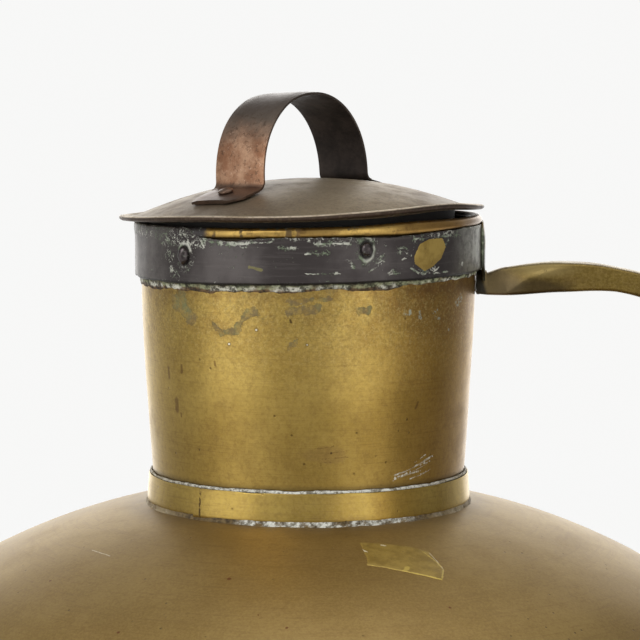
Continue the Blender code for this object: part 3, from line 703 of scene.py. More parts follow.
def band_iron(name, rivets):
    """Dark hoop metal with pale and green corrosion along its edges and round its rivets."""
    paint = Paint(name)
    wide = paint.cloud(0.36, 0.68, 42, 5, 0.6)
    paint.colour = paint.mix(wide, (0.058, 0.049, 0.048), (0.105, 0.093, 0.09))
    rub = paint.noise(1, 4, 0.7, stretch=(60, 60, 1100))
    paint.lay((0.15, 0.133, 0.127), paint.step(rub, 0.5, 0.72, 0, 0.3))
    right = paint.step(paint.x, 0.05, 0.0605)
    frost = paint.cloud(0.32, 0.62, 300, 5, 0.7, shift=3, floor=0.2, top=0.85)
    paint.lay((0.4, 0.4, 0.35), right, frost)
    left = paint.step(paint.x, -0.045, -0.06)
    paint.lay((0.23, 0.21, 0.19), left, frost, 0.55)
    level = paint.mouth_level()
    ragged = paint.shaken(260, 0.004)
    sores = paint.step(paint.strokes(BAND_SORES, lambda height: BAND_RADIUS, ragged), 1.6, 0.5)
    masks = [paint.step(level, 0.3212, 0.3234, 0, 0.75), paint.step(level, 0.3095, 0.3072, 0, 0.4),
             sores]
    rings = []
    pools = []
    soft = paint.shaken(500, 0.0012)
    for centre in rivets:
        away = paint.vector("MULTIPLY", paint.vector("SUBTRACT", soft, tuple(centre)), (1, 1, 0.72))
        length = paint.vector("LENGTH", away)
        masks.append(paint.step(length, 0.0058, 0.004, 0, 0.7))
        ring = paint.size(paint.less(length, 0.0031))
        rings.append(paint.step(ring, 0.0008, 0.0003))
        pools.append(paint.step(length, 0.0033, 0.0026))
    masks.append(paint.cloud(0.55, 0.7, 30, 3, 0.5, shift=7, top=0.35))
    near = paint.union(masks)
    fleck = paint.noise(640, 5, 0.7, shift=1, twist=0.8)
    flecks = paint.step(paint.line(near, 0.125, fleck), 0.665, 0.7)
    ridge = paint.size(paint.less(paint.noise(230, 3, 0.6, twist=1.5), 0.5))
    curls = paint.step(paint.line(near, -0.026, ridge), -0.004, -0.013)
    torn = paint.shaken(700, 0.0012)
    dashes = paint.step(paint.strokes(BAND_DASHES, lambda height: BAND_RADIUS, torn), 1.2, 0.6)
    dashes = paint.times(dashes, paint.cloud(0.42, 0.5, 520, 4, 0.7, shift=8))
    broken = paint.cloud(0.44, 0.56, 170, 4, 0.6, shift=5)
    flecks = paint.union((flecks, curls, dashes, paint.times(paint.union(rings), broken)))
    tint = paint.cloud(0.42, 0.58, 150, 3, 0.6, shift=9)
    paint.lay(paint.mix(tint, (0.62, 0.62, 0.54), (0.2, 0.25, 0.16)), flecks, 0.85)
    paint.lay((0.018, 0.014, 0.014), paint.union(pools), 0.75)
    scratch = paint.strokes(((-18.6, 313.5, -14.6, 312.6, 0.6),), lambda height: BAND_RADIUS, soft)
    scratch = paint.step(scratch, 1.1, 0.7)
    paint.lay((0.22, 0.2, 0.085), scratch, 0.8)
    foot = paint.step(level, 0.308, 0.3073)
    paint.lay((0.014, 0.012, 0.01), foot, 0.85)
    roughness = paint.line(wide, -0.08, paint.line(flecks, 0.3, 0.5))
    metallic = paint.line(flecks, -0.75, 0.8)
    paint.relief(paint.noise(240, 5, 0.65, shift=6), 0.0002, 0.7)
    paint.relief(flecks, 0.00035, 0.8)
    return paint.finish(roughness, metallic)


def lid_bronze(name):
    """Brown bronze, darker round the strap's foot, with a rubbed rim, a painted highlight along the
    hem and painted shade on the roll under it.
    """
    paint = Paint(name)
    wide = paint.cloud(0.36, 0.66, 26, 6, 0.62, twist=0.4)
    paint.colour = paint.mix(wide, (0.19, 0.141, 0.084), (0.31, 0.24, 0.148))
    bloom = paint.cloud(0.44, 0.66, 130, 7, 0.7, shift=4)
    paint.lay((0.155, 0.112, 0.076), bloom, 0.55)
    # darker round the strap's front foot
    dark_round_foot = paint.near((-0.022, -0.034, 0.338), (0.03, 0.026, 0.02), 0.5, 60)
    paint.lay((0.13, 0.098, 0.07), dark_round_foot, 0.45)
    grain = paint.noise(1300, 3, 0.7)
    paint.lay((0.48, 0.41, 0.33), paint.step(grain, 0.4, 0.7, 0, 0.12))
    dust = paint.cloud(0.665, 0.72, 620, 5, 0.7, shift=2)
    paint.lay((0.46, 0.48, 0.4), dust, 0.55)
    away = paint.vector("SUBTRACT", paint.place, (LID_CENTRE.x, LID_CENTRE.y, 0))
    radius = paint.from_axis(away)
    rim = paint.step(radius, 0.052, 0.066, 0, 0.55)
    paint.lay(paint.tinted((1.12, 1.12, 1.08)), rim)
    lit = paint.near((0.01, -0.036, 0.338), (0.03, 0.028, 0.02), 0.5, 60, 0.45)
    paint.lay((0.4, 0.32, 0.205), lit, 0.32)
    # dark dirt in the hem's groove, also standing in for the shade in the crease
    groove = paint.size(paint.less(radius, LID_RADIUS - HEM_WIDTH))
    dirt_and_shade = paint.cloud(0.35, 0.6, 90, 4, 0.6, shift=7, floor=0.25, top=0.8)
    paint.lay((0.06, 0.046, 0.034), paint.step(groove, 0.0007, 0.0002), dirt_and_shade)
    # painted shade: the hem's downward-facing roll is darkened
    painted_shade_facing_down = paint.step(paint.upright, 0.72, 0.3)
    hem = paint.step(radius, LID_RADIUS - HEM_WIDTH, LID_RADIUS - 0.5 * HEM_WIDTH)
    # the hem is pale: partly rubbed metal, partly a painted highlight along its top
    lip = paint.times(hem, paint.cloud(0.35, 0.55, 60, 4, 0.6, shift=5, floor=0.35))
    paint.lay((0.7, 0.6, 0.46), lip, 0.75)
    paint.lay((0.066, 0.044, 0.032), painted_shade_facing_down, hem)
    lines = paint.noise(1, 4, 0.7, stretch=(900, 900, 60), shift=4)
    paint.lay((0.14, 0.104, 0.07), paint.step(lines, 0.46, 0.64, 0, 0.45))
    roughness = paint.line(bloom, 0.12, paint.line(grain, 0.08, 0.44))
    paint.relief(paint.noise(160, 4, 0.6, shift=3), 0.00016, 0.6)
    paint.relief(lines, 0.00003, 0.5)
    paint.relief(grain, 0.00003, 0.5)
    return paint.finish(roughness, 0.82)


def grime(name, dark, pale, metal=0.45):
    """Dull dark grime on faces that nobody polishes; near black, it is also painted shade on the
    lid's ring and the strap's inner face.
    """
    paint = Paint(name)
    wide = paint.cloud(0.35, 0.65, 120, 6, 0.7)
    paint.colour = paint.mix(wide, dark, pale)
    paint.relief(paint.noise(300, 5, 0.65), 0.0002, 0.6)
    return paint.finish(0.62, metal)


def strap_copper(name):
    """Dark strap, worn to copper on the outside of its lower front, where a painted highlight and
    painted glints lie over the wear.
    """
    paint = Paint(name)
    wide = paint.cloud(0.36, 0.66, 60, 5, 0.6)
    paint.colour = paint.mix(wide, (0.12, 0.09, 0.07), (0.185, 0.148, 0.118))
    crown = paint.step(paint.z, 0.36, 0.372)
    paint.lay((0.07, 0.052, 0.042), crown, 0.65)
    # copper patch on the lower front: partly wear, partly a painted highlight
    worn = paint.near(around(-44, 34 * MM, 0.347), (0.03, 0.03, 0.0135), 0.55, 110, 0.55)
    blotch = paint.cloud(0.34, 0.7, 150, 6, 0.7, shift=3)
    paint.lay(paint.mix(blotch, (0.36, 0.165, 0.085), (0.66, 0.4, 0.25)), worn, 0.8)
    spots = paint.cloud(0.52, 0.64, 560, 6, 0.75, shift=6)
    paint.lay((0.085, 0.05, 0.034), spots, 0.6)
    # painted glints in the copper patch
    glints = paint.cloud(0.6, 0.68, 760, 5, 0.75, shift=9)
    paint.lay((0.8, 0.56, 0.42), glints, paint.times(worn, 0.7))
    pad = paint.step(paint.z, 0.3415, 0.3395)
    paint.lay((0.085, 0.06, 0.046), pad, 0.7)
    roughness = paint.line(blotch, 0.08, 0.36)
    paint.relief(paint.noise(260, 5, 0.65), 0.00018, 0.65)
    paint.relief(paint.noise(1200, 3, 0.7), 0.00004, 0.5)
    return paint.finish(roughness, 0.88)


def handle_brass(name):
    """Olive-brown brass, black at the heel, with painted shade on the knuckle's flank and painted
    highlights on its top facet and lower edge.
    """
    paint = Brass(name, clean=(0.2, 0.135, 0.029), dull=(0.14, 0.092, 0.02),
                  stain=(0.105, 0.062, 0.018), wear=0.6)
    # painted shade on the flank of the knuckle
    knuckle = paint.near((0.0835, -0.007, 0.3002), (0.015, 0.03, 0.005), 0.25, 150, 0.4)
    paint.lay((0.05, 0.034, 0.016), knuckle, 0.78)
    dull = paint.near((0.069, -0.006, 0.3035), (0.0095, 0.012, 0.007), 0.2, 150, 0.5)
    paint.lay((0.23, 0.175, 0.095), dull, 0.65)
    # painted highlight on the top facet
    facet = paint.near((0.086, -0.0055, 0.3082), (0.0115, 0.008, 0.003), 0.2, 150, 0.5)
    paint.lay((0.33, 0.25, 0.1), facet, 0.7)
    # painted highlight along the lower edge
    gleam = paint.near((0.07, -0.006, 0.2981), (0.0058, 0.01, 0.0012), 0.2, 300, 0.4)
    paint.lay((0.52, 0.4, 0.33), gleam, 0.75)
    slant = paint.line(paint.z, 0.35, paint.x)
    uneven = paint.line(paint.noise(200, 4, 0.6, shift=9), 0.002, slant)
    heel = paint.step(uneven, 0.1722, 0.1704)
    paint.lay((0.022, 0.02, 0.015), heel, 0.92)
    under = paint.step(paint.z, 0.3, 0.2988)
    near_heel = paint.step(paint.x, 0.128, 0.112)
    paint.lay((0.06, 0.045, 0.022), under, near_heel, 0.5)
    return paint.finish_brass(crust=paint.times(heel, 0.5), rough=0.34)


def tongue_brass(name):
    """The upper palm: dark brown with green corrosion along its thin edge."""
    paint = Paint(name)
    wide = paint.cloud(0.36, 0.66, 80, 5, 0.6)
    paint.colour = paint.mix(wide, (0.15, 0.11, 0.05), (0.235, 0.172, 0.072))
    across = paint.size(paint.y)
    edge = paint.step(paint.line(paint.noise(260, 5, 0.7), 0.002, across), 0.0102, 0.0115)
    green = paint.mix(paint.cloud(0.42, 0.62, 420, 5, 0.7, shift=2), (0.07, 0.09, 0.058),
                      (0.31, 0.36, 0.25))
    paint.lay(green, edge, 0.9)
    away = paint.from_axis(paint.place)
    outline = paint.step(away, BAND_RADIUS + 0.0008, BAND_RADIUS + 0.0011)
    paint.lay((0.026, 0.034, 0.018), outline, 0.85)
    root = paint.step(paint.z, 0.3135, 0.3105)
    paint.lay((0.022, 0.024, 0.016), root, 0.9)
    paint.relief(paint.noise(300, 5, 0.65), 0.0002, 0.7)
    metallic = paint.line(edge, -0.6, 0.85)
    return paint.finish(0.45, metallic)


def solder(name):
    """Old tin solder: silvery white where it was wiped, grey-brown elsewhere, painted lighter at
    the sides, where it faces away.
    """
    paint = Paint(name)
    lumps = paint.noise(520, 6, 0.7)
    bright = paint.mix(paint.step(lumps, 0.4, 0.58), (0.22, 0.2, 0.15), (0.78, 0.79, 0.73))
    dull = paint.mix(paint.step(lumps, 0.38, 0.64), (0.06, 0.04, 0.018), (0.2, 0.14, 0.062))
    torn = paint.cloud(0.4, 0.56, 140, 5, 0.7, shift=8)
    wiped = paint.times(paint.step(paint.x, -0.03, -0.02), paint.step(paint.x, 0.042, 0.032))
    wiped = paint.times(wiped, paint.step(paint.y, -0.02, -0.035))
    middle = paint.step(paint.size(paint.x), 0.056, 0.03, 0.4, 0.95)
    raised = paint.times(paint.step(paint.z, 0.227, 0.229), middle)
    patches = paint.cloud(0.52, 0.64, 70, 4, 0.6, shift=3, top=0.2)
    foot = paint.union((wiped, patches))
    share = paint.union((paint.times(foot, torn), raised))
    # painted light: a paler colour on the sides, which face away at grazing angles
    painted_light_sides = paint.step(paint.size(paint.x), 0.04, 0.058, 0, 0.75)
    dull = paint.mix(painted_light_sides, dull, paint.mix(torn, (0.2, 0.14, 0.065), (0.42, 0.34, 0.2)))
    paint.colour = paint.mix(share, dull, bright)
    pits = paint.cloud(0.6, 0.68, 700, 5, 0.7, shift=5, top=0.7)
    paint.lay((0.1, 0.08, 0.05), pits)
    paint.relief(lumps, 0.0003, 0.8)
    paint.shader.inputs["Specular IOR Level"].default_value = 0.25
    return paint.finish(0.58, 0.08)


def crust(name):
    """Corrosion under the hoop: pale green on top, white patches, dark scale at its lower edge, and
    a painted shadow along its top, just under the hoop.
    """
    paint = Paint(name)
    level = paint.mouth_level()
    level = paint.less(level, BAND_BOTTOM)
    wave = paint.line(paint.noise(160, 5, 0.65), 0.0032, -0.0016)
    level = paint.sum("ADD", level, wave)
    lumps = paint.noise(420, 6, 0.75)
    scale = paint.mix(paint.step(lumps, 0.4, 0.62), (0.035, 0.024, 0.016), (0.165, 0.1, 0.05))
    pale = paint.mix(paint.step(lumps, 0.4, 0.58), (0.07, 0.07, 0.042), (0.37, 0.39, 0.23))
    white = paint.mix(paint.step(lumps, 0.43, 0.52), (0.11, 0.105, 0.08), (0.68, 0.67, 0.57))
    upper = paint.step(level, -0.0021, -0.0013)
    gate = paint.cloud(0.4, 0.52, 150, 4, 0.6, shift=2)
    upper = paint.times(upper, paint.line(gate, 0.65, 0.35))
    patches = paint.cloud(0.46, 0.58, 95, 4, 0.6, shift=6)
    middle = paint.times(paint.step(level, -0.0027, -0.002), paint.step(level, -0.0004, -0.0012))
    paint.colour = paint.mix(upper, scale, pale)
    paint.lay(white, middle, patches)
    # painted shadow: near black in the gap just under the hoop's lower edge
    dark = paint.step(level, -0.0007, -0.0001)
    paint.lay((0.018, 0.016, 0.013), dark, 0.92)
    specks = paint.cloud(0.57, 0.64, 800, 4, 0.7, shift=4, top=0.7)
    paint.lay((0.05, 0.042, 0.03), specks)
    paint.relief(lumps, 0.0004, 0.7)
    paint.shader.inputs["Specular IOR Level"].default_value = 0.25
    return paint.finish(0.72, 0)


# raised ridges and wet-looking glints of the glue on the shoulder, as X, Y, X, Y and reach in mm
GLUE_RIDGES = ((20.8, -89.9, 33, -91.6, 0.55), (33, -91.6, 45.8, -93, 0.75),
               (46.2, -92.6, 46.6, -87, 0.55), (33.4, -90.6, 34.2, -88.6, 1),
               (40, -75.6, 46, -84.5, 0.4))
GLUE_GLINTS = ((18.6, -78.6, 20.6, -80.6, 0.40), (25.4, -74.2, 27.0, -74.6, 0.40))


def residue(name):
    """Dried mustard-coloured glue."""
    paint = Paint(name)
    wide = paint.cloud(0.38, 0.62, 170, 5, 0.65)
    paint.colour = paint.mix(wide, (0.275, 0.18, 0.036), (0.39, 0.268, 0.062))
    chips = paint.cloud(0.64, 0.7, 420, 5, 0.7, shift=4, top=0.6)
    paint.lay((0.11, 0.07, 0.03), chips)
    fine = paint.shaken(600, 0.0014)
    for lines, shade, share in ((GLUE_RIDGES, (0.62, 0.46, 0.1), 0.75),
                                (GLUE_GLINTS, (0.85, 0.8, 0.62), 0.85)):
        spans = [(on_shoulder(x0, y0), on_shoulder(x1, y1), reach)
                 for x0, y0, x1, y1, reach in lines]
        nearest = paint.nearest(spans, fine)
        paint.lay(shade, paint.step(nearest, 1.2, 0.6, 0, share))
    paint.relief(paint.noise(400, 5, 0.7), 0.0002, 0.7)
    return paint.finish(0.44, 0.35)


def scrape(name):
    """Fresh bright scratches."""
    paint = Paint(name)
    paint.colour = paint.mix(paint.cloud(0.35, 0.65, 700, 4, 0.6), (0.52, 0.47, 0.36),
                             (0.82, 0.8, 0.72))
    return paint.finish(0.42, 0.55)


# ---- body ---------------------------------------------------------------------

def bowl_point(angle, offset):
    """Point of the bowl's outer line, moved out by an offset."""
    half_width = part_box("lower_bowl")[1].y - (BELLY_RADIUS - HAUNCH_RADIUS)
    centre = BELLY_RADIUS - HAUNCH_RADIUS
    normal = (BOWL_DEPTH * cos(angle), half_width * sin(angle))
    length = hypot(*normal)
    return (centre + half_width * cos(angle) + offset * normal[0] / length,
            BELLY_HEIGHT + BOWL_DEPTH * sin(angle) + offset * normal[1] / length)


def bowl_arc(start, end, steps, offset):
    return [bowl_point(start + (end - start) * step / steps, offset) for step in range(steps + 1)]


def dented_body(point):
    """The raised sheet is not quite even."""
    depth = ripple(point, 0.055, 0.00035) + ripple(point, 0.024, 0.00009, 4)
    return push_out(point, -abs(depth))


def make_bowl(material):
    """Lower half of the body."""
    floor = BASE_THICKNESS + BASE_CLEAR
    end = -asin((BELLY_HEIGHT - floor) / BOWL_DEPTH)
    outline = [(0, floor), (0.06, floor)]
    outline += bowl_arc(end, 0, 44, 0)
    outline += bowl_arc(0, end + radians(0.8), 44, -SHEET)
    outline += [(0.06, outline[-1][1]), (0, outline[-1][1])]
    builder = turned(outline, 192, dented_body, closed=False)
    add_object("bowl_sheet", builder, material, "can", ["lower_bowl"])


def make_base(material):
    """Bottom disc, its edge turned up outside the bowl."""
    clear = BASE_CLEAR
    end = -asin((BELLY_HEIGHT - BASE_THICKNESS - clear) / BOWL_DEPTH)
    corner = bowl_point(end, 0)[0]
    rim = end + radians(9)
    outer = bowl_arc(end + radians(1.5), rim, 8, clear + 0.0012)
    inner = bowl_arc(rim, end + radians(1), 8, clear)
    lip = bowl_point(rim + radians(0.25), clear + 0.0006)
    outline = [(0, 0), (0.06, 0), (corner - 0.0016, 0), (corner - 0.0003, 0.0002)]
    outline += outer + [lip] + inner
    outline += [(corner, BASE_THICKNESS), (0.06, BASE_THICKNESS), (0, BASE_THICKNESS)]
    builder = turned(outline, 160, closed=False)
    add_object("base_sheet", builder, material, "can", ["base_disc"])


def shoulder_line(steps):
    """Outer line of the shoulder from the lap up to the neck hole."""
    centre = (BELLY_RADIUS - HAUNCH_RADIUS, BELLY_HEIGHT)
    reach = SHOULDER_RADIUS - HAUNCH_RADIUS
    upper = (centre[0] - reach * cos(HAUNCH_END), centre[1] - reach * sin(HAUNCH_END))
    hole = NECK_FOOT_RADIUS + 0.0003
    end = pi / 2 - asin((hole - upper[0]) / SHOULDER_RADIUS)
    lap = [(BELLY_RADIUS, BELLY_LAP + (BELLY_HEIGHT - BELLY_LAP) * step / 4) for step in range(4)]
    haunch = arc(centre, HAUNCH_RADIUS, 0, HAUNCH_END, steps)
    return lap + haunch + arc(upper, SHOULDER_RADIUS, HAUNCH_END, end, steps)[1:]


def on_shoulder(x, y):
    """Point of the shoulder at X and Y in mm."""
    return Vector((x * MM, y * MM, shoulder_height(hypot(x, y) * MM)))


def shoulder_height(radius):
    """Height of the shoulder's outer face at a radius inside its flatter arc."""
    reach = SHOULDER_RADIUS - HAUNCH_RADIUS
    centre_r = BELLY_RADIUS - HAUNCH_RADIUS - reach * cos(HAUNCH_END)
    centre_z = BELLY_HEIGHT - reach * sin(HAUNCH_END)
    return centre_z + sqrt(SHOULDER_RADIUS ** 2 - (radius - centre_r) ** 2)


def make_shoulder(material, seam_material):
    """Upper half of the body, and the seam where it laps the bowl."""
    outline = sheet_outline(shoulder_line(44), SHEET)
    builder = turned(outline, 288, dented_body)
    add_object("shoulder_sheet", builder, material, "can", ["shoulder_shell"])

    def lumpy(point):
        return push_out(point, 0.0003 * noise_at(point, 160))

    seam = arc((BELLY_RADIUS - 0.0012, BELLY_LAP + 0.0001), 0.0007, 0, 2 * pi * 7 / 8, 7)
    builder = turned(seam, 288, lumpy)
    add_object("belly_seam", builder, seam_material, "can")


# ---- neck ---------------------------------------------------------------------

def neck_radius(height):
    """The neck widens upwards, faster at its foot."""
    share = clamp((height - COLLAR_TOP) / (0.3 - COLLAR_TOP))
    radius = NECK_FOOT_RADIUS + 0.0038 * (1 - (1 - share) ** 1.25)
    return radius + max(0, height - 0.3) * 0.012


def tilt_mouth(point, share=1):
    """Follow the mouth's tilt, by a share of it."""
    tilt = MOUTH_TILT[0] * point.x + MOUTH_TILT[1] * point.y
    return Vector((point.x, point.y, point.z + share * tilt))


def lean_neck(point):
    """The neck takes on the mouth's tilt on its way up."""
    return tilt_mouth(point, clamp((point.z - COLLAR_TOP) / (NECK_TOP - COLLAR_TOP)))


def neck_shape(point):
    """Dents of the neck, fading out at both seams."""
    inside = min(1, max(0, (point.z - COLLAR_TOP) / 0.012), max(0, (0.309 - point.z) / 0.014))
    depth = ripple(point, 0.03, 0.00028, 2) + ripple(point, 0.012, 0.00007, 5)
    depth += bump_at(point, 22, 0.278, 0.014, 0.016, -0.00075)
    depth += bump_at(point, 31, 0.252, 0.01, 0.015, 0.00035)
    depth += bump_at(point, -14, 0.262, 0.016, 0.022, -0.00045)
    depth += bump_at(point, 140, 0.27, 0.022, 0.02, -0.0007)
    return lean_neck(push_out(point, depth * inside))


def make_neck(material):
    """Tapered neck sheet."""
    count = 84
    heights = [NECK_BOTTOM + (NECK_TOP - NECK_BOTTOM) * step / count for step in range(count + 1)]
    line = [(neck_radius(height), height) for height in heights]
    builder = turned(sheet_outline(line, SHEET), 288, neck_shape)
    add_object("neck_sheet", builder, material, "can", ["neck_tube"])


COLLAR_SEAM = -40.0


def make_collar(material):
    """A strip bent round the neck's foot, its ends lapped."""
    steps = 300
    overlap = 3
    tall = COLLAR_TOP - COLLAR_BOTTOM
    rings = []
    for step in range(steps + 1):
        turn = (360 + overlap) * step / steps
        under = max(0, 1 - turn / 14)
        lift = 0.00045 * (1 - turn / overlap) if turn < overlap else 0
        over = 0.00045 * max(0, (turn - 360 + 9) / 9) if turn > 351 else 0
        angle = COLLAR_SEAM - turn
        outer = COLLAR_RADIUS - 0.0001 + over - 0.0004 * under - 0.5 * lift
        inner = outer - 0.00085
        wave = 0.00022 * noise.noise(Vector((angle / 14, 0, 3)))
        top = COLLAR_TOP + 0.0003 * noise.noise(Vector((angle / 11, 2, 0)))
        bottom = COLLAR_BOTTOM - 0.0002
        corners = [(inner, bottom), (outer + 0.0001 + wave, bottom),
                   (outer + wave - 0.00005, bottom + 0.35 * tall),
                   (outer + wave - 0.00035, bottom + 0.7 * tall), (outer - 0.00055 + wave, top),
                   (inner - 0.00015, top)]
        rings.append([around(angle, *corner) for corner in smooth_ring(corners)])
    builder = loft(rings)
    add_object("collar_strip", builder, material, "can", ["neck_collar"])


def make_collar_solder(material):
    """Solder along the strip's top edge and a fillet spread from its foot over the shoulder."""

    def top_bead(angle):
        at = around(angle, 1, 3)
        swell = 1 + 0.35 * noise_at(at, 7) + 0.18 * noise_at(at, 19)
        swell *= 0.72 + 0.28 * hill(angle, 2, 50)
        height = COLLAR_TOP + 0.00035 + 0.00035 * noise_at(at, 5, 7)
        return [(NECK_FOOT_RADIUS + 0.0006 + 0.00075 * swell * cos(turn),
                 height + 0.0007 * swell * sin(turn)) for turn in turns]

    def fillet(angle):
        at = around(angle, 1, 6)
        spread = 1 + 0.45 * noise_at(at, 5) + 0.3 * noise_at(at, 15)
        spread *= 0.45 + 0.55 * hill(angle, 5, 38)
        thick = 1 + 0.5 * noise_at(at, 11, 4)
        edge = COLLAR_RADIUS + 0.002 * spread
        middle = COLLAR_RADIUS + 0.001 * spread
        wall = COLLAR_BOTTOM + 0.0006 * thick
        return [(COLLAR_RADIUS - 0.0006, wall), (COLLAR_RADIUS + 0.0001, wall - 0.0001),
                (COLLAR_RADIUS + 0.0003 * thick, shoulder_height(COLLAR_RADIUS) + 0.00042 * thick),
                (middle, shoulder_height(middle) + 0.00022 * thick),
                (edge - 0.0004, shoulder_height(edge) + 0.00014 * thick),
                (edge, shoulder_height(edge) - 0.0003), (middle, shoulder_height(middle) - 0.0006),
                (COLLAR_RADIUS - 0.0006, shoulder_height(COLLAR_RADIUS) - 0.0006)]

    turns = [2 * pi * side / 10 for side in range(10)]
    for name, section in (("collar_top_solder", top_bead), ("collar_foot_solder", fillet)):
        add_object(name, swept_ring(section), material, "can")


# ---- mouth --------------------------------------------------------------------

def cover(angle):
    """How far the hoop's metal covers the rim: 1 at the left, 0 at the front."""
    turn = (angle + 180) % 360 - 180
    if turn < -120:
        return max(0, 1 - (-120 - turn) / 20)
    return clamp((-37 - turn) / 4)


def make_band(material):
    """Hoop with a worn edge that rises over the rim at the left and dips at the right."""

    def section(angle):
        at = around(angle, 1, 4)
        wave = 0.0003 * noise_at(at, 3) + 0.00014 * noise_at(at, 11)
        worn = 0.00045 * noise_at(at, 14) + 0.00025 * noise_at(at, 40)
        low = BAND_BOTTOM + 0.00035 * noise_at(at, 9, 5)
        edge = BAND_TOP - 0.00085 * hill(angle, 27, 16) + 0.0003 * hill(angle, 70, 20)
        edge -= 0.0011 * hill(angle, -25, 7)
        top = edge + worn + 0.0034 * cover(angle)
        outer = BAND_RADIUS + wave - 0.0002
        inner = BAND_RADIUS - BAND_WALL
        lip = outer + 0.0004 * cover(angle)
        return smooth_ring([(inner, low), (outer - 0.0002, low), (outer, low + 0.0012),
                            (outer, low + 0.006), (outer, low + 0.011), (outer, edge - 0.0012),
                            (lip, 0.5 * (edge + top)), (lip - 0.0003, top), (lip - 0.001, top),
                            (inner, edge - 0.0006)])

    add_object("hoop", swept_ring(section, 480, tilt_mouth), material, "can", ["rim_band"])


def make_bead(material):
    """The neck's edge, rolled over its wire."""

    def oval(turn, shrink):
        return (BEAD_RADIUS + (BEAD_HALF_WIDTH - shrink) * cos(turn),
                BEAD_HEIGHT + (BEAD_HALF_HEIGHT - shrink) * sin(turn))

    def shape(point):
        dent = ripple(point, 0.014, 0.00016, 1) + ripple(point, 0.005, 0.00006, 2)
        angle = azimuth(point)
        point = push_out(point, dent)
        point.z += 0.28 * hill(angle, 36, 14) * (point.z - BEAD_HEIGHT)
        point.z += 0.0005 * hill(angle, 60, 24)
        return tilt_mouth(point)

    turns = [radians(-100 + 290 * step / 24) for step in range(25)]
    outline = [oval(turn, 0) for turn in turns] + [oval(turn, 0.0005) for turn in reversed(turns)]
    add_object("rolled_rim", turned(outline, 288, shape), material, "can", ["rim_bead"])


def make_crust(material):
    """Corroded solder that creeps from under the hoop down the neck."""
    rows = 9

    def section(angle):
        at = around(angle, 1, 9)
        reach = 0.0032 - 0.0012 * hill(angle, 8, 7) - 0.0015 * hill(angle, 62, 28)
        reach += 0.0008 * noise_at(at, 6) + 0.0005 * noise_at(at, 19)
        reach = max(0.0007, reach + 0.00022 * noise_at(at, 50) + 0.00012 * noise_at(at, 110))
        ring = []
        for row in range(rows + 1):
            share = row / rows
            height = BAND_BOTTOM + 0.0012 - (reach + 0.0012) * share
            lump = 1 + 0.6 * noise.noise(at * 24 + Vector((0, 0, share * 3)))
            proud = (0.00062 * (1 - share) ** 0.8 + 0.0001) * lump
            ring.append((neck_radius(height) + (proud if row < rows else -0.0002), height))
        inside = neck_radius(BAND_BOTTOM) - 0.0003
        return ring + [(inside - 0.0001, BAND_BOTTOM - reach), (inside, BAND_BOTTOM + 0.0012)]

    add_object("hoop_crust", swept_ring(section, 600, tilt_mouth), material, "can")


# ---- patches and marks --------------------------------------------------------

def patch(name, corners, surface, thickness, material, jag=0.12, steps=9, seed=1):
    """A thin skin on a surface. corners are (across, up) pairs, surface maps them to points."""
    edge = []
    for here, there in zip(corners, corners[1:] + corners[:1]):
        for step in range(steps):
            share = step / steps
            edge.append((here[0] + (there[0] - here[0]) * share,
                         here[1] + (there[1] - here[1]) * share))
    middle = (sum((p[0] for p in edge)) / len(edge), sum((p[1] for p in edge)) / len(edge))
    builder = bmesh.new()
    loops = []
    for level, shrink in ((-0.5, 1), (0.7, 0.985), (1, 0.93), (1, 0.7), (1, 0.45), (1, 0.2)):
        loop = []
        for index, (across, up) in enumerate(edge):
            tear = 1 + jag * noise.noise(Vector((index * 0.9, seed, 0)))
            flat = (middle[0] + (across - middle[0]) * shrink * tear,
                    middle[1] + (up - middle[1]) * shrink * tear)
            lump = 1 + 0.5 * noise.noise(Vector((flat[0] * 900, flat[1] * 900, seed)))
            loop.append(builder.verts.new(surface(*flat, thickness * level * lump)))
        loops.append(loop)
    skin(builder, zip(loops, loops[1:]))
    top = builder.verts.new(surface(*middle, thickness))
    under = builder.verts.new(surface(*middle, -0.5 * thickness))
    for step in range(len(edge)):
        follow = (step + 1) % len(edge)
        builder.faces.new((loops[-1][step], loops[-1][follow], top))
        builder.faces.new((loops[0][follow], loops[0][step], under))
    return add_object(name, builder, material, "can")


def band_surface(angle, height):
    """Maps (across, up) from a point of the hoop's face to the hoop."""

    def place(across, up, out):
        turn = angle + degrees(across / BAND_RADIUS)
        return tilt_mouth(around(turn, BAND_FACE + out, height + up))

    return place


def neck_surface(angle, height):
    """Maps (across, up) from a point of the neck to its face."""

    def place(across, up, out):
        turn = angle + degrees(across / NECK_FOOT_RADIUS)
        point = around(turn, neck_radius(height + up), height + up)
        return push_out(neck_shape(point), out)

    return place


def shoulder_surface(x, y):
    """Maps level offsets from a point on the shoulder to the shoulder's face."""

    def place(across, up, out):
        reach = hypot(x + across, y + up)
        point = dented_body(Vector((x + across, y + up, shoulder_height(reach))))
        return point + Vector((0, 0, out))

    return place


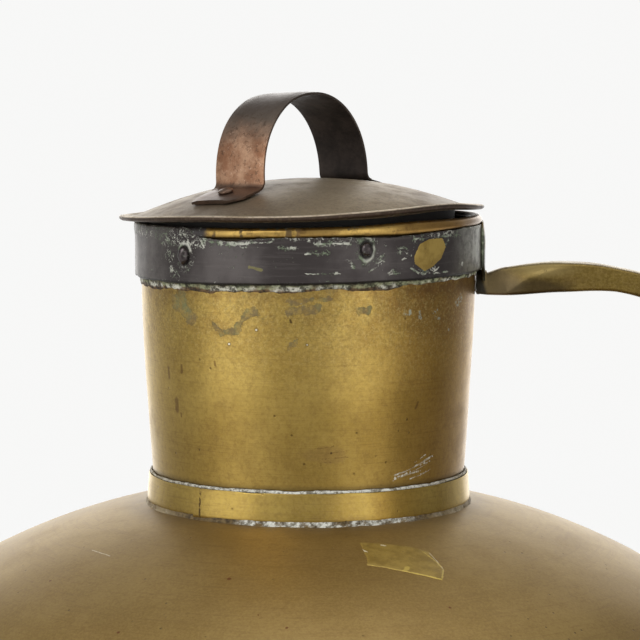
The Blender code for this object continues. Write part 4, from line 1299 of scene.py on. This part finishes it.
def make_patches(glue, bright):
    """Dried glue on the hoop and the shoulder, scratches at the neck's foot."""
    corners = [(-0.0076, -0.0003), (-0.0052, 0.004), (-0.0008, 0.0055), (0.0062, 0.0055),
               (0.0081, 0.0024), (0.0056, -0.0017), (0.0011, -0.0044), (-0.0029, -0.0058),
               (-0.0075, -0.0028)]
    patch("hoop_residue", corners, band_surface(42.6, 0.3156), 0.00022, glue, 0.06)
    corners = [(-0.0143, 0.0088), (0.0031, 0.0095), (0.0099, 0.0073), (0.0147, -0.0036),
               (0.014, -0.0109), (-0.0119, -0.0073), (-0.0119, -0.0029)]
    patch("shoulder_residue", corners, shoulder_surface(0.0323, -0.0823), 0.00022, glue,
          0.05)
    marks = ((44.8, 0.2421, 0.0053), (40.5, 0.2406, 0.006), (43, 0.2399, 0.0038),
             (36.6, 0.2393, 0.004), (34.6, 0.2379, 0.0036), (38.5, 0.2383, 0.0044),
             (47.5, 0.2431, 0.0028), (33.4, 0.2388, 0.002), (45, 0.2376, 0.0034))
    for index, (angle, height, length) in enumerate(marks, 1):
        rise = 0.27 * length
        corners = [(-length, -rise), (0.2 * length, 0.00026), (length, rise),
                   (-0.2 * length, -0.0003)]
        patch(f"neck_scratch_{index}", corners, neck_surface(angle, height), 0.00005, bright,
              0.02, 5, index * 1.3)


# ---- rivets -------------------------------------------------------------------

def placing(point, direction):
    """Turn and move from Z at the origin to a direction at a point."""
    turn = Vector((0, 0, 1)).rotation_difference(direction.normalized())
    return Matrix.Translation(point) @ turn.to_matrix().to_4x4()


def rivet_iron(name):
    """Rubbed dark iron of the hoop's rivets."""
    paint = Paint(name)
    wide = paint.cloud(0.35, 0.65, 300, 4, 0.6)
    paint.colour = paint.mix(wide, (0.04, 0.032, 0.032), (0.085, 0.072, 0.072))
    specks = paint.cloud(0.6, 0.68, 700, 5, 0.7)
    paint.lay((0.32, 0.34, 0.28), specks, 0.7)
    paint.relief(paint.noise(420, 4, 0.6), 0.00015, 0.6)
    return paint.finish(0.3, 0.85)


def rivet(name, node, point, direction, radius, height, material, body, slot, grip=0.003, tall=1):
    """A hand-closed rivet: an uneven dome on a short shank with a closed tail."""
    crown = [(radius * cos(a), height * sin(a)) for a in [0.5 * pi * s / 7 for s in range(8)]]
    shank = 0.0012
    tail = 0.0019
    outline = [(0, -grip - 0.0007), (0.7 * tail, -grip - 0.0006), (tail, -grip - 0.0001),
               (shank, -grip), (shank, -0.0004), (0.94 * radius, -0.0004)]
    outline += crown[:-1] + [(0, height)]
    seed = float(len(name)) + point.x * 900

    def shape(local):
        wobble = 1 + 0.1 * noise.noise(local * 500 + Vector((seed, 0, 0)))
        spot = placing(point, direction) @ (local * wobble)
        spot.z = point.z + (spot.z - point.z) * tall
        return spot

    builder = turned(outline, 32, shape, closed=False)
    add_object(name, builder, material, body, [node])


def node_middle(node):
    low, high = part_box(node)
    return 0.5 * (low + high)


def wall_rivet(name, node, face, *sizes):
    """A rivet square to the upright wall, on a face at a radius."""
    middle = node_middle(node)
    outward = Vector((middle.x, middle.y, 0)).normalized()
    point = outward * face + Vector((0, 0, middle.z))
    rivet(name, node, point, outward, *sizes)


def make_band_rivets(material):
    """The hoop's rivets; the first was hammered into a tall oval."""
    sizes = ((0.0021, 0.0024, 1.7), (0.0022, 0.0021, 1.1), (0.0022, 0.0016, 1.1),
             (0.0022, 0.0016, 1))
    for index, (radius, height, tall) in enumerate(sizes, 1):
        wall_rivet(f"hoop_rivet_{index}", f"band_rivet_{index}", BAND_RADIUS + 0.0001, radius,
                   height, material, "can", "band_iron", 0.0034, tall)


# ---- handle -------------------------------------------------------------------

def haunch_point(angle, offset):
    """Point over the body's haunch, in the handle's plane."""
    centre = BELLY_RADIUS - HAUNCH_RADIUS
    reach = HAUNCH_RADIUS + offset
    return Vector((centre + reach * cos(angle), 0, BELLY_HEIGHT + reach * sin(angle)))


def bar_size(x):
    """Half depth of the bar, the drop from its top to its side ridge, and its top's half width."""
    swell = sin(pi * clamp((x - HEEL_RADIUS) / KNUCKLE_LENGTH))
    depth = BAR_HALF_DEPTH + KNUCKLE_SWELL * swell
    facet = ease(1 - (x - 0.0765) / 0.022)
    heel = ease(1 - (x - 0.069) / 0.012)
    drop = 0.0013 + 0.0042 * facet + 0.0046 * heel
    ridge = 0.0028 + 0.0024 * (1 - facet)
    return (depth, drop, ridge)


def handle_stations():
    """Centre points of the handle, each with half depth, half width, ridge drop, top half width."""
    stations = []
    count = 40
    for step in range(count):
        x = HEEL_RADIUS + (BAR_BEND_START - HEEL_RADIUS) * step / count
        climb = ease((x - BAR_RISE[0]) / (BAR_RISE[1] - BAR_RISE[0]))
        depth, drop, ridge = bar_size(x)
        thinned = 0.0008 * ease(1 - (x - 0.064) / 0.009) * ease((x - BAND_RADIUS) / 0.001)
        point = Vector((x, 0, HEEL_HEIGHT + (BAR_HEIGHT - HEEL_HEIGHT) * climb - thinned))
        stations.append((point, depth - thinned, BAR_HALF_WIDTH, drop - thinned, ridge))
    centre = Vector((BAR_BEND_START, 0, BAR_HEIGHT - BAR_BEND))
    count = 48
    for step in range(count):
        angle = 0.5 * pi * (1 - step / count)
        point = centre + BAR_BEND * Vector((cos(angle), 0, sin(angle)))
        depth, drop, ridge = bar_size(point.x)
        stations.append((point, depth, BAR_HALF_WIDTH, drop, ridge))
    half_foot = 0.5 * FOOT_THICKNESS
    seat = GAP + PATCH_THICKNESS + GAP + half_foot
    start = centre + Vector((BAR_BEND, 0, 0))
    end = haunch_point(FOOT_TOP, seat)
    slope = Vector((sin(FOOT_TOP), 0, -cos(FOOT_TOP)))
    pulls = (start + Vector((0, 0, -0.034)), end - 0.016 * slope)
    count = 26
    for step in range(count):
        share = step / count
        rest = 1 - share
        point = (rest ** 3 * start + 3 * rest * rest * share * pulls[0]
                 + 3 * rest * share * share * pulls[1] + share ** 3 * end)
        depth = BAR_HALF_DEPTH + (half_foot - BAR_HALF_DEPTH) * share ** 2
        width = BAR_HALF_WIDTH + (PALM_HALF_WIDTH - BAR_HALF_WIDTH) * share ** 2
        stations.append((point, depth, width, min(0.0013, depth), 0.0052 + 0.004 * share ** 2))
    for step in range(17):
        share = step / 16
        angle = FOOT_TOP + (FOOT_BOTTOM - FOOT_TOP) * share
        narrow = PALM_HALF_WIDTH - 0.0045 * max(0, (share - 0.82) / 0.18) ** 2
        stations.append((haunch_point(angle, seat), half_foot, narrow, 0.0005, narrow - 0.0015))
    return stations


def set_across(point, outward, across, up):
    """The point that lies across and up from a centre point of the handle."""
    spot = point + outward * up
    spot.y = across
    return spot


def wrap_about_axis(point):
    """Bend a piece that lies across the X axis round the can's axis."""
    angle = point.y / point.x
    return Vector((point.x * cos(angle), point.x * sin(angle), point.z))


def make_handle(material):
    """Forged bar: a slanted facet leads from its heel to the top edge."""
    stations = handle_stations()
    rings = []
    for index, (point, depth, width, drop, ridge) in enumerate(stations):
        before = stations[max(0, index - 1)][0]
        after = stations[min(len(stations) - 1, index + 1)][0]
        tangent = (after - before).normalized()
        outward = Vector((-tangent.z, 0, tangent.x))
        low = 0.26 * min(depth, 0.004)
        side = max(depth - drop, low - depth + 0.0001)
        corners = [(ridge, depth), (-ridge, depth), (-width, side), (-width, low - depth),
                   (-width + 1.6 * low, -depth), (width - 1.6 * low, -depth), (width, low - depth),
                   (width, side)]
        ring = []
        for across, up in smooth_ring(corners, 2, 0.0011):
            spot = set_across(point, outward, across, up)
            uneven = 1 + 0.03 * noise_at(spot, 90)
            ring.append(wrap_about_axis(Vector((spot.x, spot.y * uneven, spot.z))))
        rings.append(ring)
    add_object("handle_bar", loft(rings), material, "can", ["side_handle"])


def make_tongue(material):
    """The bar's upper palm: a thin tongue up the hoop, its tip leaning in to the rim."""
    rings = []
    count = 40
    for step in range(count + 1):
        height = PALM_TIP + (PALM_ROOT - PALM_TIP) * step / count
        tip = max(0, 1 - (PALM_TIP - height) / 0.0055)
        foot = ease((0.3105 - height) / 0.006)
        thin = PALM_THICKNESS * (1 - 0.5 * tip)
        inner = BAND_FACE - 0.0001 * tip
        width = PALM_HALF_WIDTH * (1 - 0.22 * tip ** 2) - 0.0045 * foot
        columns = (-width, -0.5 * width, 0.5 * width, width)
        corners = [(inner, column) for column in columns]
        corners += [(inner + thin, column) for column in reversed(columns)]
        ring = []
        for x, across in smooth_ring(corners, 2, 0.0004):
            uneven = 1 + 0.03 * noise.noise(Vector((x * 40, across * 60, height * 90)))
            ring.append(wrap_about_axis(Vector((x, across * uneven, height))))
        rings.append(ring)
    add_object("handle_tongue", loft(rings), material, "can")


def make_patch_plate(material):
    """Stiffening patch under the lower palm, its corners cut."""
    rings = []
    count = 18
    top = FOOT_TOP + radians(3)
    bottom = FOOT_BOTTOM - radians(3)
    for step in range(count + 1):
        share = step / count
        angle = top + (bottom - top) * share
        end = max(0, abs(share - 0.5) - 0.38) / 0.12
        half = 0.015 - 0.005 * end ** 2
        point = haunch_point(angle, 0.0004 + 0.0006)
        tangent = Vector((sin(angle), 0, -cos(angle)))
        outward = Vector((-tangent.z, 0, tangent.x))
        flat, up = half - 0.0004, 0.5 * PATCH_THICKNESS
        corners = [(flat, up), (0, up), (-flat, up), (-half, 0), (-flat, -up), (0, -up),
                   (flat, -up), (half, 0)]
        rings.append([wrap_about_axis(set_across(point, outward, *corner)) for corner in corners])
    add_object("belly_plate", loft(rings), material, "can", ["belly_patch"])


def make_handle_rivets(brass):
    """Two nearly flush rivets through the upper palm, three through the lower one."""
    for index in (1, 2):
        wall_rivet(f"palm_rivet_{index}", f"handle_top_rivet_{index}", BAND_FACE + PALM_THICKNESS,
                   0.0021, 0.0001, brass, "can", "handle_brass", 0.006)
    for index in (1, 2, 3):
        node = f"handle_foot_rivet_{index}"
        middle = node_middle(node)
        turn = atan2(middle.y, hypot(middle.x, middle.y))
        level = hypot(middle.x, middle.y) - (BELLY_RADIUS - HAUNCH_RADIUS)
        rise = atan2(middle.z - BELLY_HEIGHT, level)
        face = haunch_point(rise, 0.0037)
        outward = Vector((cos(rise) * cos(turn), cos(rise) * sin(turn), sin(rise)))
        point = Vector((face.x * cos(turn), face.x * sin(turn), face.z))
        rivet(f"foot_rivet_{index}", node, point, outward, 0.0028, 0.0014, brass, "can",
              "handle_brass", 0.0052)


# ---- lid ----------------------------------------------------------------------

def lid_height(radius):
    """Height of the lid's upper face above its brim's underside."""
    brim = sqrt(DOME_RADIUS ** 2 - BRIM_START ** 2)
    if radius >= BRIM_START + BRIM_BLEND:
        return LID_SHEET
    inner = min(radius, BRIM_START - BRIM_BLEND)
    height = sqrt(DOME_RADIUS ** 2 - inner ** 2) - brim
    share = (BRIM_START + BRIM_BLEND - radius) / (2 * BRIM_BLEND)
    return LID_SHEET + height * min(1, share) ** 2


def brim_warp(angle):
    """The brim is bent up a little at two places."""
    return 0.0016 * hill(angle, 52, 24) + 0.0007 * hill(angle, -30, 16)


def place_on_lid(point):
    """Move a point from the can's axis to the lid, with the lid's tilt and warp."""
    radius = hypot(point.x, point.y)
    share = min(1, radius / LID_RADIUS)
    back = ease(0.5 + point.y / LID_RADIUS)
    height = point.z
    if radius > LID_RADIUS - HEM_WIDTH:
        height -= 0.32 * back * max(0, point.z - LID_UNDERSIDE)
        front = ease((-point.y / LID_RADIUS - 0.2) / 0.6)
        height += 0.0004 * front + 0.0006 * hill(azimuth(point), 30, 22)
    warp = brim_warp(azimuth(point)) * share ** 4 - 0.0005 * back * share ** 3
    warp += ripple(Vector((point.x, point.y, 0)), 0.022, 0.00022, 3) * min(1, radius / 0.02)
    rise = LID_TILT[0] * point.x + LID_TILT[1] * point.y
    return Vector((point.x + LID_CENTRE.x, point.y + LID_CENTRE.y, height + rise + warp))


def make_lid(material):
    """Lid sheet: dome, brim and rolled hem."""
    hem = LID_RADIUS - HEM_WIDTH
    radii = [0.0015 + (hem - 0.0015) * step / 56 for step in range(57)]
    top = [(0, lid_height(0))] + [(radius, lid_height(radius)) for radius in radii]
    groove = [(hem + 0.0002, LID_SHEET - 0.00015), (hem + 0.0005, LID_SHEET + 0.0002),
              (hem + 0.0009, 0.0017), (hem + 0.0016, 0.0019)]
    roll = arc((LID_RADIUS - 0.00095, 0.00095), 0.00095, radians(80), radians(-90), 9)
    under = [(radius, lid_height(radius) - LID_SHEET) for radius in reversed(radii)]
    outline = top + groove + roll + under + [(0, lid_height(0) - LID_SHEET)]
    outline = [(radius, height + LID_UNDERSIDE) for radius, height in outline]
    builder = turned(outline, 256, place_on_lid, closed=False)
    add_object("lid_sheet", builder, material, "lid", ["lid_shell"])


def make_skirt(material):
    """Ring under the lid that keeps it on the neck."""
    top = LID_UNDERSIDE + lid_height(SKIRT_RADIUS) - LID_SHEET - GAP
    bottom = LID_UNDERSIDE - SKIRT_DEPTH
    line = [(SKIRT_RADIUS, bottom + (top - bottom) * step / 8) for step in range(9)]
    builder = turned(sheet_outline(line, SKIRT_SHEET), 160, place_on_lid)
    add_object("lid_ring", builder, material, "lid", ["lid_skirt"])


STRAP_COLUMNS = 9
PAD_STEPS = 14


def strap_line():
    """Centre line of the strap: (along, height above the brim)."""
    rest = GAP + 0.5 * STRAP_THICKNESS
    fold = STRAP_HALF_CHORD + STRAP_BEND
    points = []
    for step in range(PAD_STEPS):
        along = fold + STRAP_PAD * (1 - step / PAD_STEPS)
        points.append((along, lid_height(along) + rest))
    base = lid_height(fold) + rest + STRAP_BEND
    points += arc((fold, base), STRAP_BEND, radians(-90), radians(-180), 10)
    for step in range(1, 40):
        angle = 0.5 * pi * step / 40
        points.append((STRAP_HALF_CHORD * cos(angle) ** 0.92,
                       base + STRAP_RISE * sin(angle) ** 0.96))
    left = [(-along, height) for along, height in points]
    return left + [(0, base + STRAP_RISE)] + points[::-1]


def make_strap(material, inner_material):
    """Strap handle, with grime and painted shade in a near-black material on its inner face."""
    line = strap_line()
    fold = STRAP_HALF_CHORD + STRAP_BEND
    end = fold + STRAP_PAD
    rings = []
    for index, (along, height) in enumerate(line):
        before = line[max(0, index - 1)]
        after = line[min(len(line) - 1, index + 1)]
        tangent = Vector((after[0] - before[0], 0, after[1] - before[1])).normalized()
        normal = Vector((-tangent.z, 0, tangent.x)) * (0.5 * STRAP_THICKNESS)
        # the pads' corners are clipped, the front right one the most
        tip = max(0, 1 - (end - abs(along)) / 0.005)
        right = -0.5 * STRAP_WIDTH + (0.0042 if along < 0 else 0.0018) * tip ** 1.3
        left = 0.5 * STRAP_WIDTH - 0.0014 * tip ** 1.3
        ring = []
        steps = [(left - right) * column / (STRAP_COLUMNS - 1) for column in range(STRAP_COLUMNS)]
        corners = [(right + step, 1) for step in steps] + [(left - step, -1) for step in steps]
        for across, side in corners:
            edge = min(abs(across - right), abs(left - across))
            thin = 0.55 if edge < 1e-06 else 1
            bow = 1 + 0.05 * noise.noise(Vector((along * 70, across * 40, 2)))
            spot = Vector((along, across * bow, height)) + normal * side * thin
            if abs(along) > fold - 1e-06:
                radius = hypot(along, across)
                spot.z += lid_height(radius) - lid_height(abs(along))
            ring.append(spot)
        rings.append(ring)
    turn = Matrix.Rotation(STRAP_TURN, 4, "Z")
    placed = []
    for ring in rings:
        row = []
        for spot in ring:
            spot = turn @ spot
            spot.z -= STRAP_SHIFT * spot.x / DOME_RADIUS
            spot.x += STRAP_SHIFT - STRAP_LEAN * max(0, spot.z - lid_height(0))
            spot.z += LID_UNDERSIDE
            row.append(place_on_lid(spot))
        placed.append(row)
    item = add_object("strap_bow", loft(placed), material, "lid", ["lid_strap"])
    item.data.materials.append(inner_material)
    for face in item.data.polygons:
        ring, side = divmod(face.index, 2 * STRAP_COLUMNS)
        inner = STRAP_COLUMNS <= side < 2 * STRAP_COLUMNS - 1
        if inner and PAD_STEPS < ring < len(line) - PAD_STEPS - 1:
            face.material_index = 1


def make_strap_rivets(material):
    """One rivet square to the dome through each pad."""
    for index, side in ((1, -1), (2, 1)):
        node = f"strap_rivet_{index}"
        middle = node_middle(node)
        flat = middle - LID_CENTRE
        upright = sqrt(1 - (hypot(flat.x, flat.y) / DOME_RADIUS) ** 2)
        outward = Vector((flat.x / DOME_RADIUS - LID_TILT[0], flat.y / DOME_RADIUS - LID_TILT[1],
                          upright))
        outward.normalize()
        point = middle + outward * 0.0022
        rivet(f"bow_rivet_{index}", node, point, outward, 0.0029, 0.0011, material, "lid",
              "strap_copper", 0.005)


# ---- studio -------------------------------------------------------------------

BACKDROP = 0.935
FLOOR_LEVEL = -0.0002
FLOOR_RADIUS = 0.8
ROOM_RADIUS = 9.0
WHITE = (1, 1, 0.992)


def stage_material(name, colour, glow):
    material = bpy.data.materials.new(name)
    material.use_nodes = True
    graph = Graph(material.node_tree)
    inputs = graph.nodes["Principled BSDF"].inputs
    for key, value in (("Base Color", colour), ("Roughness", 0.6), ("Specular IOR Level", 0),
                       ("Emission Color", WHITE), ("Emission Strength", glow)):
        graph.put(inputs[key], value)
    return material, graph


def stage_ring(name, outline, material, unseen=True):
    """Part of the stage. The unseen parts show only to the camera, and light nothing."""
    item = link_mesh(name, turned(outline, 96, closed=False), material)
    if unseen:
        item.visible_glossy = item.visible_diffuse = False
        item.visible_shadow = item.visible_transmission = False


def make_stage():
    """A pale floor that fades into a white surround, which only the camera sees."""
    floor, graph = stage_material("floor_white", (0.82, 0.82, 0.81), 0)
    place = graph.make("TexCoord", {}).outputs["Object"]
    fade = graph.step(graph.vector("LENGTH", place), 0.25, 0.78)
    glow = graph.make("Emission", {"Color": tuple(BACKDROP * part for part in WHITE)})
    inputs = {0: fade, 1: graph.nodes["Principled BSDF"].outputs[0], 2: glow.outputs[0]}
    mixed = graph.make("MixShader", inputs).outputs[0]
    graph.put(graph.nodes["Material Output"].inputs["Surface"], mixed)
    surround, _ = stage_material("surround_white", (0, 0, 0), BACKDROP)
    stage_ring("floor", [(0, FLOOR_LEVEL), (FLOOR_RADIUS, FLOOR_LEVEL)], floor, unseen=False)
    stage_ring("floor_far", [(FLOOR_RADIUS, FLOOR_LEVEL), (ROOM_RADIUS, FLOOR_LEVEL)], surround)
    stage_ring("wall", [(ROOM_RADIUS, ROOM_RADIUS), (ROOM_RADIUS, FLOOR_LEVEL)], surround)


def make_world():
    """Soft surroundings: two tall softboxes in front, a white screen behind, a dim ceiling."""
    world = bpy.data.worlds.new("studio")
    bpy.context.scene.world = world
    world.use_nodes = True
    graph = Graph(world.node_tree)
    ray = graph.make("TexCoord", {}).outputs["Generated"]
    x, y, z = graph.apart(ray)
    flat = graph.vector("NORMALIZE", graph.vector("MULTIPLY", ray, (1, 1, 0)))

    def panel(angle, inner, outer, value):
        """A tall soft panel at an angle from the front."""
        facing = graph.vector("DOT_PRODUCT", flat, tuple(around(angle, 1, 0)))
        return graph.step(facing, cos(radians(outer)), cos(radians(inner)), 0, value)

    room = graph.line(x, -0.1, graph.line(y, -0.16, 0.36))
    panels = graph.sum("ADD", panel(-53, 6, 25, 0.96), panel(37, 6, 21, 1.18))
    total = graph.line(panels, graph.step(z, 0.62, 0.3), room)
    screen = graph.sum("ADD", panel(180, 16, 38, 2.2), panel(180, 42, 68, 0.5))
    screen = graph.times(screen, graph.step(z, 0.62, 0.26))
    ceiling = graph.step(z, 0.35, 0.9, 0, 0.1)
    total = graph.sum("ADD", graph.sum("ADD", total, screen), ceiling)
    background = graph.nodes["Background"].inputs
    graph.put(background["Strength"], total)
    graph.put(background["Color"], (1, 0.995, 0.98))


def make_lights():
    """Two soft area lights that add form to the world's light."""
    lamps = (("key", (-1.1, -1.3, 1.9), 14, 1), ("top", (0.4, 0.2, 2.2), 7, 1.4))
    for name, place, energy, size in lamps:
        data = bpy.data.lights.new(name, "AREA")
        data.energy = energy
        data.size = size
        lamp = bpy.data.objects.new(name, data)
        lamp.location = place
        aim = Vector((0, 0, 0.15)) - Vector(place)
        lamp.rotation_euler = aim.to_track_quat("-Z", "Y").to_euler()
        bpy.context.collection.objects.link(lamp)


def make_camera():
    """Long lens, a little above the lid, looking slightly down at the neck."""
    data = bpy.data.cameras.new("camera")
    data.sensor_width = 36
    data.lens = 171.4
    data.clip_start = 0.05
    data.clip_end = 50
    camera = bpy.data.objects.new("camera", data)
    camera.location = (0.00425, -1.12, 0.402)
    camera.rotation_euler = (radians(90 - 5.77), 0, 0)
    bpy.context.collection.objects.link(camera)
    bpy.context.scene.camera = camera


# ---- build --------------------------------------------------------------------

def build():
    body = body_brass("body_brass")
    neck = neck_brass("neck_brass")
    collar = collar_brass("collar_brass")
    rim = bead_brass("rim_brass")
    rivets = [node_middle(f"band_rivet_{index}") for index in range(1, 5)]
    iron = band_iron("hoop_iron", rivets)
    bronze = lid_bronze("lid_bronze")
    copper = strap_copper("strap_copper")
    bar = handle_brass("handle_brass")
    tin = solder("old_solder")
    scale = crust("corrosion")
    glue = residue("dried_glue")
    bright = scrape("bright_scratch")
    # the lid's ring is near black: grime, and painted shade in the gap under the lid
    dirt_and_shade = grime("grime_and_shade", (0.008, 0.007, 0.006), (0.018, 0.015, 0.012), 0.1)
    # the strap's inner face is near black: grime, and painted shade under the arch
    inner_shade = grime("strap_inner_shade", (0.03, 0.023, 0.02), (0.066, 0.05, 0.043))
    make_bowl(body)
    make_base(body)
    make_shoulder(body, body)
    make_neck(neck)
    make_collar(collar)
    make_collar_solder(tin)
    make_band(iron)
    make_bead(rim)
    make_crust(scale)
    make_patches(glue, bright)
    make_band_rivets(rivet_iron("rivet_iron"))
    make_handle(bar)
    make_tongue(tongue_brass("tongue_brass"))
    make_patch_plate(body)
    make_handle_rivets(bar)
    make_lid(bronze)
    make_skirt(dirt_and_shade)
    make_strap(copper, inner_shade)
    make_strap_rivets(copper)
    for node, material in (("rim_wire", iron), ("strap_rove_1", copper), ("strap_rove_2", copper)):
        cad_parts[node].data.materials.clear()
        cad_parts[node].data.materials.append(material)
    make_stage()
    make_world()
    make_lights()
    make_camera()
    bpy.context.scene.view_settings.view_transform = "Standard"


build()
